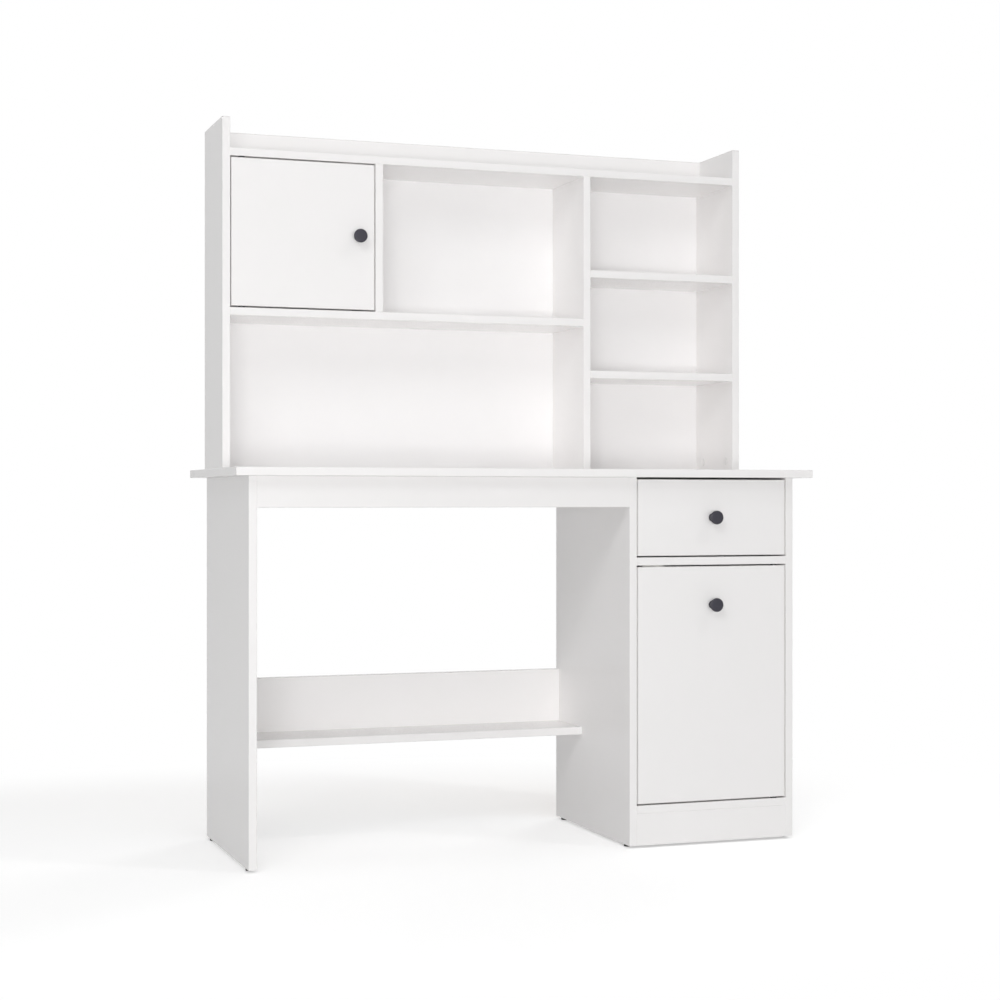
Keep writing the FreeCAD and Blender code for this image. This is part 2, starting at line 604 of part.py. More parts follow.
class Door:
    """An inset door on two pivot pins, with its knob, strike plate and magnetic catch."""

    def __init__(self, name, left, right, front, floor, ceiling, hinge, knob_x, knob_z):
        self.name, self.front, self.floor, self.ceiling = name, front, floor, ceiling
        self.low = (f"({left} + size.side_gap)", front, f"({floor} + size.front_gap)")
        self.high = (f"({right} - size.side_gap)", f"({front} + size.board)", f"({ceiling} - size.front_gap)")
        self.back = f"({front} + size.board)"
        self.knob_at = (knob_x, front, knob_z)
        reach = "(size.catch_edge + size.catch_width / 2)"
        if hinge == "left":
            self.pivot_x = f"({self.low[0]} + {PIVOT_INSET})"
            self.catch_x = f"({right} - {reach})"
        else:
            self.pivot_x = f"({self.high[0]} - {PIVOT_INSET})"
            self.catch_x = f"({left} + {reach})"
        self.pivot_y = f"({front} + size.board / 2)"

    def both_ends(self):
        """The two pivots: on the board below, and turned over under the board above."""
        return [(self.pivot_x, self.pivot_y, self.floor, Rotation()),
                (self.pivot_x, self.pivot_y, self.ceiling, Rotation(Vector(1, 0, 0), 180))]

    def seats(self, bush_seat):
        """What the bushes take out of the boards above and below."""
        return copies(self.name + "_bush_seats", bush_seat, self.both_ends())

    def fittings(self, bush, pin):
        """The bushes, the pins, the catch and its strike plate."""
        keep(copies(self.name + "_bushes", bush, self.both_ends()), self.name + "_bushes")
        pins = keep(copies(self.name + "_pivot_pins", pin, self.both_ends()), self.name + "_pivot_pins")
        wide, ear, high = "size.catch_width", "size.catch_ear", "size.catch_rise"
        step = f"({high} - size.catch_ear_sheet)"
        outline = [(ear, "0"), (f"({wide} - {ear})", "0"), (f"({wide} - {ear})", step), (wide, step),
                   (wide, high), ("0", high), ("0", step), (ear, step)]
        catch = swept_along_y(self.name + "_catch", outline, "size.catch_depth")
        behind = f"({self.back} + size.strike_sheet + size.catch_gap)"
        keep(set_at(catch, f"({self.catch_x} - {wide} / 2)", behind, f"({self.ceiling} - {high})"),
             self.name + "_catch")
        top = f"({self.high[2]} - size.strike_edge)"
        half = "size.strike_width / 2"
        low = (f"({self.catch_x} - {half})", self.back, f"({top} - size.strike_rise)")
        high = (f"({self.catch_x} + {half})", f"({self.back} + size.strike_sheet)", top)
        keep(board(self.name + "_strike", low, high), self.name + "_strike")
        return pins

    def panel(self, pins):
        """The door itself, its knob and the knob's screw."""
        hole = knob(self.name + "_knob", *self.knob_at, grip="size.board")
        blank = board(self.name + "_panel", self.low, self.high, banded("xz"))
        drilled(self.name + "_panel", blank, group(self.name + "_holes", [pins, hole]))


def doors():
    """The hutch door, hinged on the left, and the cabinet's lower door, hinged on the right."""
    free_edge = f"({DOOR_BAY_END} - size.side_gap)"
    hutch_door = Door("hutch_door", LEFT_IN, DOOR_BAY_END, HUTCH_FRONT, LOWER_TOP, CEILING, "left",
                      f"({free_edge} - size.knob_edge)", f"(({LOWER_TOP} + {CEILING}) / 2)")
    lower_door = Door("lower_door", CABINET_IN, RIGHT_IN, FRONT, FLOOR_TOP, MIDDLE_BOTTOM, "right",
                      f"(({CABINET_IN} + {RIGHT_IN}) / 2)",
                      f"({MIDDLE_BOTTOM} - size.front_gap - size.knob_drop)")
    return hutch_door, lower_door


# ---------------------------------------------------------------- drawer

GROOVE_LOW = "(size.groove_lift - size.groove_play)"
GROOVE_HIGH = "(size.groove_lift + size.hardboard + size.groove_play)"
GROOVE_IN = "(size.drawer_board - size.groove_depth)"


def grooved():
    """Outline of a drawer board, across its thickness and up, with the bottom's groove in its inner face."""
    thick, top = "size.drawer_board", "size.drawer_box_height"
    return [("0", "0"), (thick, "0"), (thick, GROOVE_LOW), (GROOVE_IN, GROOVE_LOW), (GROOVE_IN, GROOVE_HIGH),
            (thick, GROOVE_HIGH), (thick, top), ("0", top)]


def drawer_side(name, x, mirror=False):
    """A grooved side with a housing for the box front at one end and for the box back at the other."""
    outline = grooved()
    housing = "(size.drawer_board - size.housing_depth)"
    across = [housing, "size.drawer_board"]
    if mirror:
        outline = [(f"(size.drawer_board - {point})", up) for point, up in outline]
        across = ["0", "size.housing_depth"]
    body = swept_along_y(name, outline, BOX_DEPTH)
    rise = "(size.groove_lift + size.hardboard)"
    for start, floor in (("0", "0"), (f"({BOX_DEPTH} - size.drawer_board)", rise)):
        end = f"({start} + size.drawer_board)"
        slot = [(across[0], start), (across[1], start), (across[1], end), (across[0], end)]
        feature(body, "Pocket", polygon(sketch_on(body, "XY_Plane", floor), slot), "size.drawer_box_height",
                reverse=True)
    keep(set_at(body, x, BOX_FRONT, BOX_BOTTOM), name)


def drawer():
    """The drawer: an inset front on a box of housed boards with a grooved-in bottom, its knob and screws."""
    middle = f"(({CABINET_IN} + {RIGHT_IN}) / 2)"
    low = (f"({CABINET_IN} + size.side_gap)", FRONT, f"({MIDDLE_TOP} + size.front_gap)")
    high = (f"({RIGHT_IN} - size.side_gap)", BOX_FRONT, f"({UNDER_TOP} - size.drawer_top_gap)")
    knob_z = f"(({low[2]} + {high[2]}) / 2)"
    hole = knob("drawer_knob", middle, FRONT, knob_z, grip="(size.board + size.drawer_board)")
    front_screw = screw_template("front_screw", "size.front_screw", "size.front_screw_head",
                                 "size.front_screw_head_rise", "(size.drawer_board + size.front_screw_bite)")
    inner_face = f"({BOX_FRONT} + size.drawer_board)"
    spots = [(f"({BOX_LEFT} + size.front_screw_inset)", inner_face, knob_z, OUTWARD),
             (f"({BOX_RIGHT} - size.front_screw_inset)", inner_face, knob_z, OUTWARD)]
    front_screws = keep(copies("drawer_front_screws", front_screw, spots), "drawer_front_screws")
    through = group("drawer_front_holes", [front_screws, hole])
    drilled("drawer_front", board("drawer_front", low, high, banded("xz")), through)

    drawer_side("drawer_left_side", BOX_LEFT)
    drawer_side("drawer_right_side", f"({BOX_RIGHT} - size.drawer_board)", mirror=True)
    left = f"({BOX_LEFT} + size.drawer_board - size.housing_depth)"
    right = f"({BOX_RIGHT} - size.drawer_board + size.housing_depth)"
    body = doc.addObject("PartDesign::Body", "drawer_box_front_blank")
    feature(body, "Pad", polygon(sketch_on(body, "YZ_Plane"), grooved()), f"({right} - {left})")
    drilled("drawer_box_front", set_at(body, left, BOX_FRONT, BOX_BOTTOM), through)
    bottom_top = f"({BOX_BOTTOM} + size.groove_lift + size.hardboard)"
    keep(board("drawer_box_back", (left, f"({BOX_BACK} - size.drawer_board)", bottom_top),
               (right, BOX_BACK, f"({BOX_BOTTOM} + size.drawer_box_height)")), "drawer_box_back")
    keep(board("drawer_bottom",
               (f"({BOX_LEFT} + {GROOVE_IN})", f"({BOX_FRONT} + {GROOVE_IN})",
                f"({BOX_BOTTOM} + size.groove_lift)"),
               (f"({BOX_RIGHT} - {GROOVE_IN})", BOX_BACK, bottom_top)), "drawer_bottom")


# ---------------------------------------------------------------- roller slides

def rail_outline(mirror):
    """Cabinet rail: a channel open towards the drawer, with its web on the panel."""
    sheet_metal, flange, top = "size.slide_sheet", "size.rail_flange", RAIL_RISE
    corners = [("0", "0"), (flange, "0"), (flange, sheet_metal), (sheet_metal, sheet_metal),
               (sheet_metal, f"({top} - {sheet_metal})"), (flange, f"({top} - {sheet_metal})"), (flange, top),
               ("0", top)]
    return [(f"-{across}", up) for across, up in corners] if mirror else corners


def runner_outline(mirror):
    """Drawer runner: a web on the drawer's side, a ledge under it, and a top flange that rides on the roller.

    Local X = 0 is the outer face of the drawer's side, and local Z = 0 its bottom.
    """
    sheet_metal, ledge = "size.slide_sheet", "size.runner_ledge"
    tip = "(size.slide_sheet + size.runner_flange)"
    top = f"(size.rail_lift + {RUNNER_TOP})"
    corners = [(f"-{tip}", f"({top} - {sheet_metal})"), (f"-{sheet_metal}", f"({top} - {sheet_metal})"),
               (f"-{sheet_metal}", f"-{sheet_metal}"), (ledge, f"-{sheet_metal}"), (ledge, "0"), ("0", "0"),
               ("0", top), (f"-{tip}", top)]
    return [(f"-{across}", up) for across, up in corners] if mirror else corners


def roller(name, x, y, turn):
    """A nylon roller about local Z, its inner side at local Z = 0."""
    bore = doc.addObject("Part::Cylinder", name + "_bore")
    bore.setExpression("Radius", "size.axle_diameter / 2 + size.roller_play")
    bore.setExpression("Height", "size.roller_width")
    body = doc.addObject("Part::Cut", name)
    body.Base = prism(name + "_blank", 24, "size.roller_diameter", "0", "size.roller_width")
    body.Tool = bore
    keep(set_at(body, x, y, ROLLER_HEIGHT, turn), name)


def axle_template():
    """A rivet about local Z: a round shank from the web through the roller, and a head past it."""
    under = "(size.roller_standoff + size.roller_width + size.roller_gap)"
    shank = doc.addObject("Part::Cylinder", "axle_shank")
    shank.setExpression("Radius", "size.axle_diameter / 2")
    shank.setExpression("Height", under)
    head = prism("axle_head", 12, "size.axle_head", under, f"({under} + size.axle_head_rise)")
    return joined("axle", shank, head)


def roller_slides():
    """Both slides: a rail with a roller at its front on each panel, a runner with one at its back."""
    length = f"({BOX_DEPTH} - size.rail_start)"
    front_row = f"({RAIL_FRONT} + size.roller_inset)"
    back_row = f"({BOX_BACK} - size.roller_inset)"
    inward = {"left": Rotation(Vector(0, 1, 0), 90), "right": Rotation(Vector(0, 1, 0), -90)}
    axle = axle_template()
    rail_axles, runner_axles = [], []
    for hand, panel, side, sign, other in (("left", CABINET_IN, BOX_LEFT, "+", "right"),
                                           ("right", RIGHT_IN, BOX_RIGHT, "-", "left")):
        mirror = hand == "right"
        rail = swept_along_y(f"slide_rail_{hand}", rail_outline(mirror), length)
        keep(set_at(rail, panel, RAIL_FRONT, RAIL_BOTTOM), f"slide_rail_{hand}")
        runner = swept_along_y(f"drawer_runner_{hand}", runner_outline(mirror), length)
        keep(set_at(runner, side, RAIL_FRONT, BOX_BOTTOM), f"drawer_runner_{hand}")
        rail_web = f"({panel} {sign} size.slide_sheet)"
        runner_web = f"({side} - {sign}size.slide_sheet)"
        rail_axles.append((rail_web, front_row, ROLLER_HEIGHT, inward[hand]))
        runner_axles.append((runner_web, back_row, ROLLER_HEIGHT, inward[other]))
        rail_side = f"({rail_web} {sign} size.roller_standoff)"
        runner_side = f"({runner_web} - {sign}size.roller_standoff)"
        roller(f"rail_roller_{hand}", rail_side, front_row, inward[hand])
        roller(f"runner_roller_{hand}", runner_side, back_row, inward[other])
    keep(copies("rail_axles", axle, rail_axles), "rail_axles")
    keep(copies("runner_axles", axle, runner_axles), "runner_axles")


# ---------------------------------------------------------------- the whole desk

def build():
    """Build every sub-part, fittings before the boards that they are set in."""
    bush, pin = pivot_bush_template(), pivot_pin_template()
    bush_seat = group("bush_seat", [bush_sleeve("bush_seat_sleeve")])
    both_doors = doors()
    bores = group("frame_bores", board_joints() + [door.seats(bush_seat) for door in both_doors])
    desk_boards(bores)
    cabinet_boards(bores)
    hutch_boards(bores)
    floor_glides()
    drawer()
    roller_slides()
    for door in both_doors:
        door.panel(door.fittings(bush, pin))
    doc.recompute()


def check():
    """Stop if any feature failed, or any sub-part isn't made of closed, valid solids."""
    for item in doc.Objects:
        if "Invalid" in item.State or "Error" in item.State:
            raise RuntimeError(f"{item.Label} failed: {item.State}")
    for item in finished:
        shape = item.Shape
        if shape.isNull() or not shape.isValid() or not shape.Solids or shape.Volume <= 0:
            raise RuntimeError(f"{item.Label} has no valid solid")


def export():
    """Write each sub-part to its own file."""
    os.makedirs("parts", exist_ok=True)
    for item in finished:
        item.Shape.exportStep(f"parts/{item.Label}.step")
    print(len(finished), "sub-parts written")


build()
check()
export()
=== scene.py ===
"""Student desk with a hutch: its finishes, turned and folded fittings, floor, light and camera.

The desk's own frame has +X to the right as seen from the front, +Y to the back and +Z up, with the origin on the
floor under the middle of the desktop. Sizes are in millimetres, as a joiner would give them, and MM turns them
into metres. Those of the floor, the lamps and the camera are in metres.
"""
import logging
import math
from abc import ABC, abstractmethod
from dataclasses import dataclass, field
from enum import Enum

import bpy
import numpy as np
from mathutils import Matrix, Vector


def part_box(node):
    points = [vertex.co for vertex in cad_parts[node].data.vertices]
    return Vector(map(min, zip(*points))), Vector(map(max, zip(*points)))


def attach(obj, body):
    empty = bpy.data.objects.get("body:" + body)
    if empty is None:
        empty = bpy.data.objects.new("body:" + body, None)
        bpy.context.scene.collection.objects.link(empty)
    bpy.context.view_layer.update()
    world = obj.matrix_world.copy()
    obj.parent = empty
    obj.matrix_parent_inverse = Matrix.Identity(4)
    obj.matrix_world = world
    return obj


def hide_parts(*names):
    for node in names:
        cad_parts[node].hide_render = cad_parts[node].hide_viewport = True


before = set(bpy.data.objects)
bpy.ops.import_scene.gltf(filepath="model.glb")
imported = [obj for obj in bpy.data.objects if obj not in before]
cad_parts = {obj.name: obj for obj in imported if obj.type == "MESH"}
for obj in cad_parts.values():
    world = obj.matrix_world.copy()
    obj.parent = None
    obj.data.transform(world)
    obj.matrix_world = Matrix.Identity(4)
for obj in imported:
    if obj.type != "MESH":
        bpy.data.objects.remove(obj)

logging.basicConfig(level=logging.INFO, format="%(message)s")
log = logging.getLogger("student_desk")

MM = 0.001
Array = np.ndarray
Rows = list[tuple[float, float, float]]
Tree = bpy.types.NodeTree
Socket = bpy.types.NodeSocket
Inputs = dict[str | int, object]
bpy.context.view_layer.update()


class Way(Enum):
    """The six directions of the desk's frame."""

    RIGHT = (1, 0, 0)
    LEFT = (-1, 0, 0)
    BACK = (0, 1, 0)
    FRONT = (0, -1, 0)
    UP = (0, 0, 1)
    DOWN = (0, 0, -1)

    @property
    def axis(self) -> int:
        """Which of X, Y and Z it runs along: 0, 1 or 2."""
        return [abs(part) for part in self.value].index(1)

    @property
    def sign(self) -> int:
        """Which way along that axis: 1 or -1."""
        return self.value[self.axis]

    @property
    def opposite(self) -> "Way":
        """The other way along that axis."""
        return Way(tuple(-part for part in self.value))


@dataclass(frozen=True)
class Box:
    """The room that a CAD node takes up."""

    low: Array
    high: Array

    @classmethod
    def of(cls, node: str) -> "Box":
        """The box of one CAD node."""
        return cls(*(np.array(corner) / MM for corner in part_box(node)))

    @property
    def middle(self) -> Array:
        """Its middle."""
        return (self.low + self.high) / 2

    @property
    def size(self) -> Array:
        """Its width, depth and height."""
        return self.high - self.low

    def side(self, way: Way) -> float:
        """Where its side in one direction is, along that direction's axis."""
        return float((self.high if way.sign > 0 else self.low)[way.axis])

    def face(self, way: Way) -> Array:
        """The middle of its side in one direction."""
        return np.where(np.arange(3) == way.axis, self.side(way), self.middle)


# ---------------------------------------------------------------- surfaces

@dataclass
class Surface:
    """Points and faces of one mesh, as whole arrays.

    Each array in faces has one row for each face and one column for each of its corners.
    """

    points: Array
    faces: list[Array]

    def at(self, spots: Array | Rows, out: Way, along: Way | None = None) -> "Surface":
        """Copy the surface to one or more places, with its local Z turned outwards.

        A point (x, y, z) goes to the spot, plus x times along, y times the cross product of out and along, and z
        times out. Each copy's face numbers are raised by the points of the copies before it.

        Args:
            spots: one place, or one row for each.
            out: where local Z goes.
            along: where local X goes, square to out. It is up, or to the right where out is up or down.

        Returns:
            The copies as one surface.
        """
        along = along or (Way.RIGHT if out.axis == Way.UP.axis else Way.UP)
        normal, side = np.array(out.value, float), np.array(along.value, float)
        turn = np.array([side, np.cross(normal, side), normal])
        places = np.asarray(spots, float).reshape(-1, 3)
        points = (places[:, None] + self.points @ turn).reshape(-1, 3)
        steps = np.arange(len(places))[:, None, None] * len(self.points)
        return Surface(points, [(steps + part).reshape(-1, part.shape[1]) for part in self.faces])

    def __add__(self, other: "Surface") -> "Surface":
        """Both surfaces in one mesh."""
        shifted = [part + len(self.points) for part in other.faces]
        return Surface(np.r_[self.points, other.points], self.faces + shifted)

    def piece(self, name: str, sharp: float = 40.0) -> bpy.types.Object:
        """Make the mesh object, in metres.

        Args:
            name: the piece's name.
            sharp: edges that turn by more than this many degrees stay crisp.

        Returns:
            The object, at the origin, with its place in its mesh.
        """
        mesh = bpy.data.meshes.new(name)
        sizes = np.concatenate([np.full(len(part), part.shape[1]) for part in self.faces])
        corners = np.concatenate([part.ravel() for part in self.faces])
        mesh.vertices.add(len(self.points))
        mesh.vertices.foreach_set("co", (self.points * MM).astype(np.float32).ravel())
        mesh.loops.add(len(corners))
        mesh.loops.foreach_set("vertex_index", corners.astype(np.int32))
        mesh.polygons.add(len(sizes))
        mesh.polygons.foreach_set("loop_start", (np.cumsum(sizes) - sizes).astype(np.int32))
        mesh.update(calc_edges=True)
        mesh.validate()
        mesh.shade_smooth()
        mesh.set_sharp_from_angle(angle=math.radians(sharp))
        item = bpy.data.objects.new(name, mesh)
        bpy.context.collection.objects.link(item)
        return item


def eased(rows: Array, steps: int, closed: bool = False) -> Array:
    """Round the corners of an outline.

    Each corner C becomes a quadratic curve (1-s)^2 A + 2s(1-s) C + s^2 B, where A and B lie one easing before
    and after the corner on its two runs, and s goes from 0 to 1 in equal steps. A corner whose easing is 0 stays
    one point.

    Args:
        rows: the outline's corners, as rows of two coordinates and an easing.
        steps: spans on each rounding.
        closed: whether the last corner runs on to the first. An open outline keeps its two ends.

    Returns:
        The rounded outline's points.
    """
    corners, easing = rows[:, :2], rows[:, 2:]
    runs = [np.roll(corners, shift, axis=0) - corners for shift in (1, -1)]
    starts, ends = (corners + run / np.linalg.norm(run, axis=1, keepdims=True) * easing for run in runs)
    along = np.linspace(0, 1, steps + 1)[None, :, None]
    curves = ((1 - along) ** 2 * starts[:, None] + 2 * along * (1 - along) * corners[:, None]
              + along ** 2 * ends[:, None])
    sharp = easing[:, 0] == 0
    if not closed:
        sharp[[0, -1]] = True
    curves[sharp, 0] = corners[sharp]
    kept = np.ones(curves.shape[:2], bool)
    kept[sharp, 1:] = False
    return curves[kept]


def revolved(profile: Array, segments: int, ring: bool = False) -> Surface:
    """Turn a profile about local Z.

    A point of radius r and height h becomes (r cos t, r sin t, h), with t in equal steps round a full turn.
    The grid closes on itself round the turn. An end on the axis becomes one point with a fan of triangles.

    Args:
        profile: rows of radius and height. Where the height rises along it, its outside is away from the axis.
        segments: steps round the turn.
        ring: whether the profile closes on itself, away from the axis.

    Returns:
        The closed surface.
    """
    turn = np.linspace(0, 2 * np.pi, segments, endpoint=False)
    inner = profile if ring else profile[1:-1]
    radius, height = inner[:, :1], inner[:, 1:]
    points = np.stack([radius * np.cos(turn), radius * np.sin(turn), height + 0 * turn], axis=-1).reshape(-1, 3)
    rows, here = len(inner), np.arange(segments)
    following = (here + 1) % segments
    low = np.arange(rows if ring else rows - 1)[:, None]
    high = (low + 1) % rows
    quads = np.stack([low * segments + here, low * segments + following,
                      high * segments + following, high * segments + here], axis=-1).reshape(-1, 4)
    if ring:
        return Surface(points, [quads])
    start, end, top = len(points), len(points) + 1, (rows - 1) * segments
    poles = np.array([[0, 0, profile[0, 1]], [0, 0, profile[-1, 1]]])
    first = np.stack([np.full(segments, start), following, here], axis=-1)
    last = np.stack([np.full(segments, end), top + here, top + following], axis=-1)
    return Surface(np.r_[points, poles], [quads, first, last])


def turned(rows: Rows | Array, segments: int, steps: int, ring: bool = False) -> Surface:
    """A profile with rounded corners, given as rows of radius, height and easing, turned about local Z."""
    return revolved(eased(np.array(rows, float), steps, ring), segments, ring)


def swept(rows: Array, start: float, end: float, steps: int = 4) -> Surface:
    """Round the corners of a closed outline and carry it along Y.

    A point (a, b) of the outline becomes (a, y, b) at both ends, its runs become walls, and each end is closed
    by one flat face. The outline is turned anticlockwise first, by the sign of its area, which is half the sum of
    the cross products of its neighbouring points.

    Args:
        rows: the outline's corners, as rows of X, Z and easing.
        start: Y of the front end.
        end: Y of the back end.
        steps: spans on each rounding.

    Returns:
        The closed surface.
    """
    outline = eased(rows, steps, closed=True)
    ahead = np.roll(outline, -1, axis=0)
    if np.sum(outline[:, 0] * ahead[:, 1] - ahead[:, 0] * outline[:, 1]) < 0:
        outline = outline[::-1]
    count, here = len(outline), np.arange(len(outline))
    front, back = (np.c_[outline[:, 0], np.full(count, level), outline[:, 1]] for level in (start, end))
    following = (here + 1) % count
    walls = np.stack([here, here + count, following + count, following], axis=-1)
    return Surface(np.r_[front, back], [walls, here[None], here[::-1][None] + count])


def plate(width: float, height: float, thick: float, corner: float, edge: float) -> Surface:
    """A flat plate on local XY with rounded corners and eased rims, its face towards local +Z.

    Its outline is a rounded rectangle. It is drawn four times: on the back, at the foot and head of the rim, and
    on the face, where both faces are drawn in by the edge's easing. The four rings make the walls.

    Args:
        width: along X.
        height: along Y.
        thick: along Z, up from 0.
        corner: easing of its corners.
        edge: easing of its rims.

    Returns:
        The closed surface.
    """
    half = np.array([[-1, -1], [1, -1], [1, 1], [-1, 1]]) * [width / 2, height / 2]
    outline = eased(np.c_[half, np.full(4, corner)], 6, closed=True)
    inset = outline - np.sign(outline) * edge
    levels = [(inset, 0.0), (outline, edge), (outline, thick - edge), (inset, thick)]
    points = np.concatenate([np.c_[ring, np.full(len(ring), level)] for ring, level in levels])
    count, here = len(outline), np.arange(len(outline))
    following = (here + 1) % count
    low = np.arange(3)[:, None] * count
    walls = np.stack([low + here, low + following, low + count + following, low + count + here], axis=-1)
    return Surface(points, [walls.reshape(-1, 4), here[::-1][None], here[None] + 3 * count])


# ---------------------------------------------------------------- finishes

NOISE_RANGE = {"From Min": 0.35, "From Max": 0.65}      # noise seldom leaves it
WHITE = (1.0, 1.0, 1.0, 1.0)


def linear(colour: str) -> tuple[float, float, float, float]:
    """Turn an sRGB hex colour into linear values.

    Values up to 0.04045 are divided by 12.92, and the others are raised to 2.4 after 0.055 is added and the sum
    divided by 1.055.

    Args:
        colour: six hex digits, such as "EDEBEB".

    Returns:
        Red, green, blue and an alpha of 1.
    """
    parts = np.array([int(colour[place:place + 2], 16) for place in (0, 2, 4)]) / 255
    curve = np.where(parts <= 0.04045, parts / 12.92, ((parts + 0.055) / 1.055) ** 2.4)
    return (*curve.tolist(), 1.0)


def add_node(tree: Tree, kind: str, inputs: Inputs | None = None, **settings: object) -> bpy.types.Node:
    """Add one node.

    Args:
        tree: the node tree.
        kind: the node's type.
        inputs: what its input sockets get, by name or number. A socket is linked, and anything else is a constant.
        **settings: the node's own properties, which are set first.

    Returns:
        The node.
    """
    node = tree.nodes.new(kind)
    for name, value in settings.items():
        setattr(node, name, value)
    for key, value in (inputs or {}).items():
        if isinstance(value, Socket):
            tree.links.new(value, node.inputs[key])
        else:
            node.inputs[key].default_value = value
    return node


@dataclass(frozen=True)
class Tones:
    """Two tones in cloudy patches: noise blends the first into the second."""

    first: str
    second: str
    patch: float                 # size of a patch
    octaves: float = 2.0         # of finer noise on top
    crisp: bool = False          # whether the patches reach both tones, or only come near them

    def drawn(self, tree: Tree, where: Socket) -> Socket:
        """Add the pattern.

        Args:
            tree: the material's node tree.
            where: the coordinates, in metres.

        Returns:
            The colour.
        """
        amount = add_node(tree, "ShaderNodeTexNoise", {"Vector": where, "Scale": 1 / (self.patch * MM),
                                                       "Detail": self.octaves}).outputs["Fac"]
        if self.crisp:
            amount = add_node(tree, "ShaderNodeMapRange", {"Value": amount, **NOISE_RANGE}).outputs["Result"]
        mix = add_node(tree, "ShaderNodeMix", {"Factor": amount, 6: linear(self.first), 7: linear(self.second)},
                       data_type="RGBA")
        return mix.outputs[2]


@dataclass(frozen=True)
class Grain:
    """A fine relief of noise, which varies the gloss as well."""

    patch: float                 # size of a patch
    octaves: float               # of finer noise on top
    rough: tuple[float, float]   # roughness of the lowest and the highest places
    relief: float                # how far 0 lies under 1

    def drawn(self, tree: Tree, where: Socket) -> Inputs:
        """Add the pattern.

        Args:
            tree: the material's node tree.
            where: the coordinates, in metres.

        Returns:
            What the shader's sockets get. A roughness that is the same all over stays a constant.
        """
        noise = add_node(tree, "ShaderNodeTexNoise", {"Vector": where, "Scale": 1 / (self.patch * MM),
                                                      "Detail": self.octaves}).outputs["Fac"]
        bump = add_node(tree, "ShaderNodeBump", {"Height": noise, "Strength": 1.0, "Distance": self.relief * MM})
        low, high = self.rough
        if high > low:
            low = add_node(tree, "ShaderNodeMapRange", {"Value": noise, **NOISE_RANGE, "To Min": low,
                                                        "To Max": high}).outputs["Result"]
        return {"Roughness": low, "Normal": bump.outputs["Normal"]}


@dataclass(frozen=True)
class Finish(ABC):
    """A surface finish, which makes its own material."""

    name: str
    slot: str = ""               # the record's material slot that the finish belongs to

    def material(self) -> bpy.types.Material:
        """Make the material, or find it if it is there already.

        Returns:
            The material, whose nodes are the finish's own.
        """
        known = bpy.data.materials.get(self.name)
        if known is not None:
            return known
        made = bpy.data.materials.new(self.name)
        made.use_nodes = True
        tree = made.node_tree
        tree.nodes.clear()
        where = add_node(tree, "ShaderNodeTexCoord").outputs["Object"]
        shader = add_node(tree, "ShaderNodeBsdfPrincipled", self.dressed(tree, where))
        add_node(tree, "ShaderNodeOutputMaterial", {"Surface": self.shown(tree, where, shader.outputs["BSDF"])})
        return made

    @abstractmethod
    def dressed(self, tree: Tree, where: Socket) -> Inputs:
        """Add the finish's pattern and say what the shader's sockets get."""

    def shown(self, tree: Tree, where: Socket, surface: Socket) -> Socket:
        """What is seen, which is the shader's surface as it is."""
        return surface


@dataclass(frozen=True)
class GrainedFinish(Finish):
    """A finish of two near tones with a fine grain."""

    tones: Tones = field(kw_only=True)
    grain: Grain = field(kw_only=True)
    constants: tuple[tuple[str, float], ...] = (("IOR", 1.5),)

    def dressed(self, tree: Tree, where: Socket) -> Inputs:
        """Its tones, its grain and its constants."""
        return {"Base Color": self.tones.drawn(tree, where), **self.grain.drawn(tree, where), **dict(self.constants)}


@dataclass(frozen=True)
class MelamineBoard(GrainedFinish):
    """Melamine faced chipboard, pressed between polished plates and edge banded.

    Melamine resin over white paper is a hard, satin to semi-gloss white: the light runs along it in a soft
    streak, and a near board is mirrored at a low angle. Its press plates leave a very fine grain.
    """

    box: Box = field(kw_only=True)
    banded: tuple[Way, ...] = ()
    sawn: tuple[Way, ...] = ()
    tones: Tones = Tones("F6F4F4", "F4F3F2", 90.0)
    # The plate's grain is about 0.3 mm. It is drawn at 2.5 mm, so that it shows.
    grain: Grain = Grain(2.5, 3.0, (0.20, 0.27), 0.006)
    joint: str = "BDBAB6"        # colour of the bands' glue joints
    joint_depth: float = 0.95    # from the edge to the middle of the joint, past a band of 0.8
    joint_reach: float = 0.12    # half the joint's width
    chips: tuple[str, str] = ("A98658", "D9BE92")
    chip: float = 3.0            # size of the pressed chips
    saw_reach: float = 0.05      # what is this near to the edge's plane is the edge

    def dressed(self, tree: Tree, where: Socket) -> Inputs:
        """White melamine, with the fine line of each band's glue joint, and bare chips on sawn edges.

        A point is on a line or an edge where its distance from a plane is less than a reach. Each chip is one cell
        of a cell pattern, and has one shade between brown and straw.

        Args:
            tree: the material's node tree.
            where: the coordinates, in metres.

        Returns:
            What the shader's sockets get.
        """
        inputs = super().dressed(tree, where)
        marks = [(way, self.joint_depth, self.joint_reach, linear(self.joint)) for way in self.banded]
        if self.sawn:
            brown, straw = (linear(colour) for colour in self.chips)
            cells = add_node(tree, "ShaderNodeTexVoronoi", {"Vector": where, "Scale": 1 / (self.chip * MM)})
            shade = add_node(tree, "ShaderNodeSeparateXYZ", {0: cells.outputs["Color"]})
            wood = add_node(tree, "ShaderNodeMix", {"Factor": shade.outputs[0], 6: brown, 7: straw},
                            data_type="RGBA")
            marks += [(way, 0.0, self.saw_reach, wood.outputs[2]) for way in self.sawn]
        parts = add_node(tree, "ShaderNodeSeparateXYZ", {0: where})
        for way, inward, reach, colour in marks:
            level = self.box.side(way) - way.sign * inward
            near = add_node(tree, "ShaderNodeMath", {0: parts.outputs[way.axis], 1: level * MM, 2: reach * MM},
                            operation="COMPARE")
            mix = add_node(tree, "ShaderNodeMix", {"Factor": near.outputs[0], 6: inputs["Base Color"], 7: colour},
                           data_type="RGBA")
            inputs["Base Color"] = mix.outputs[2]
        return inputs


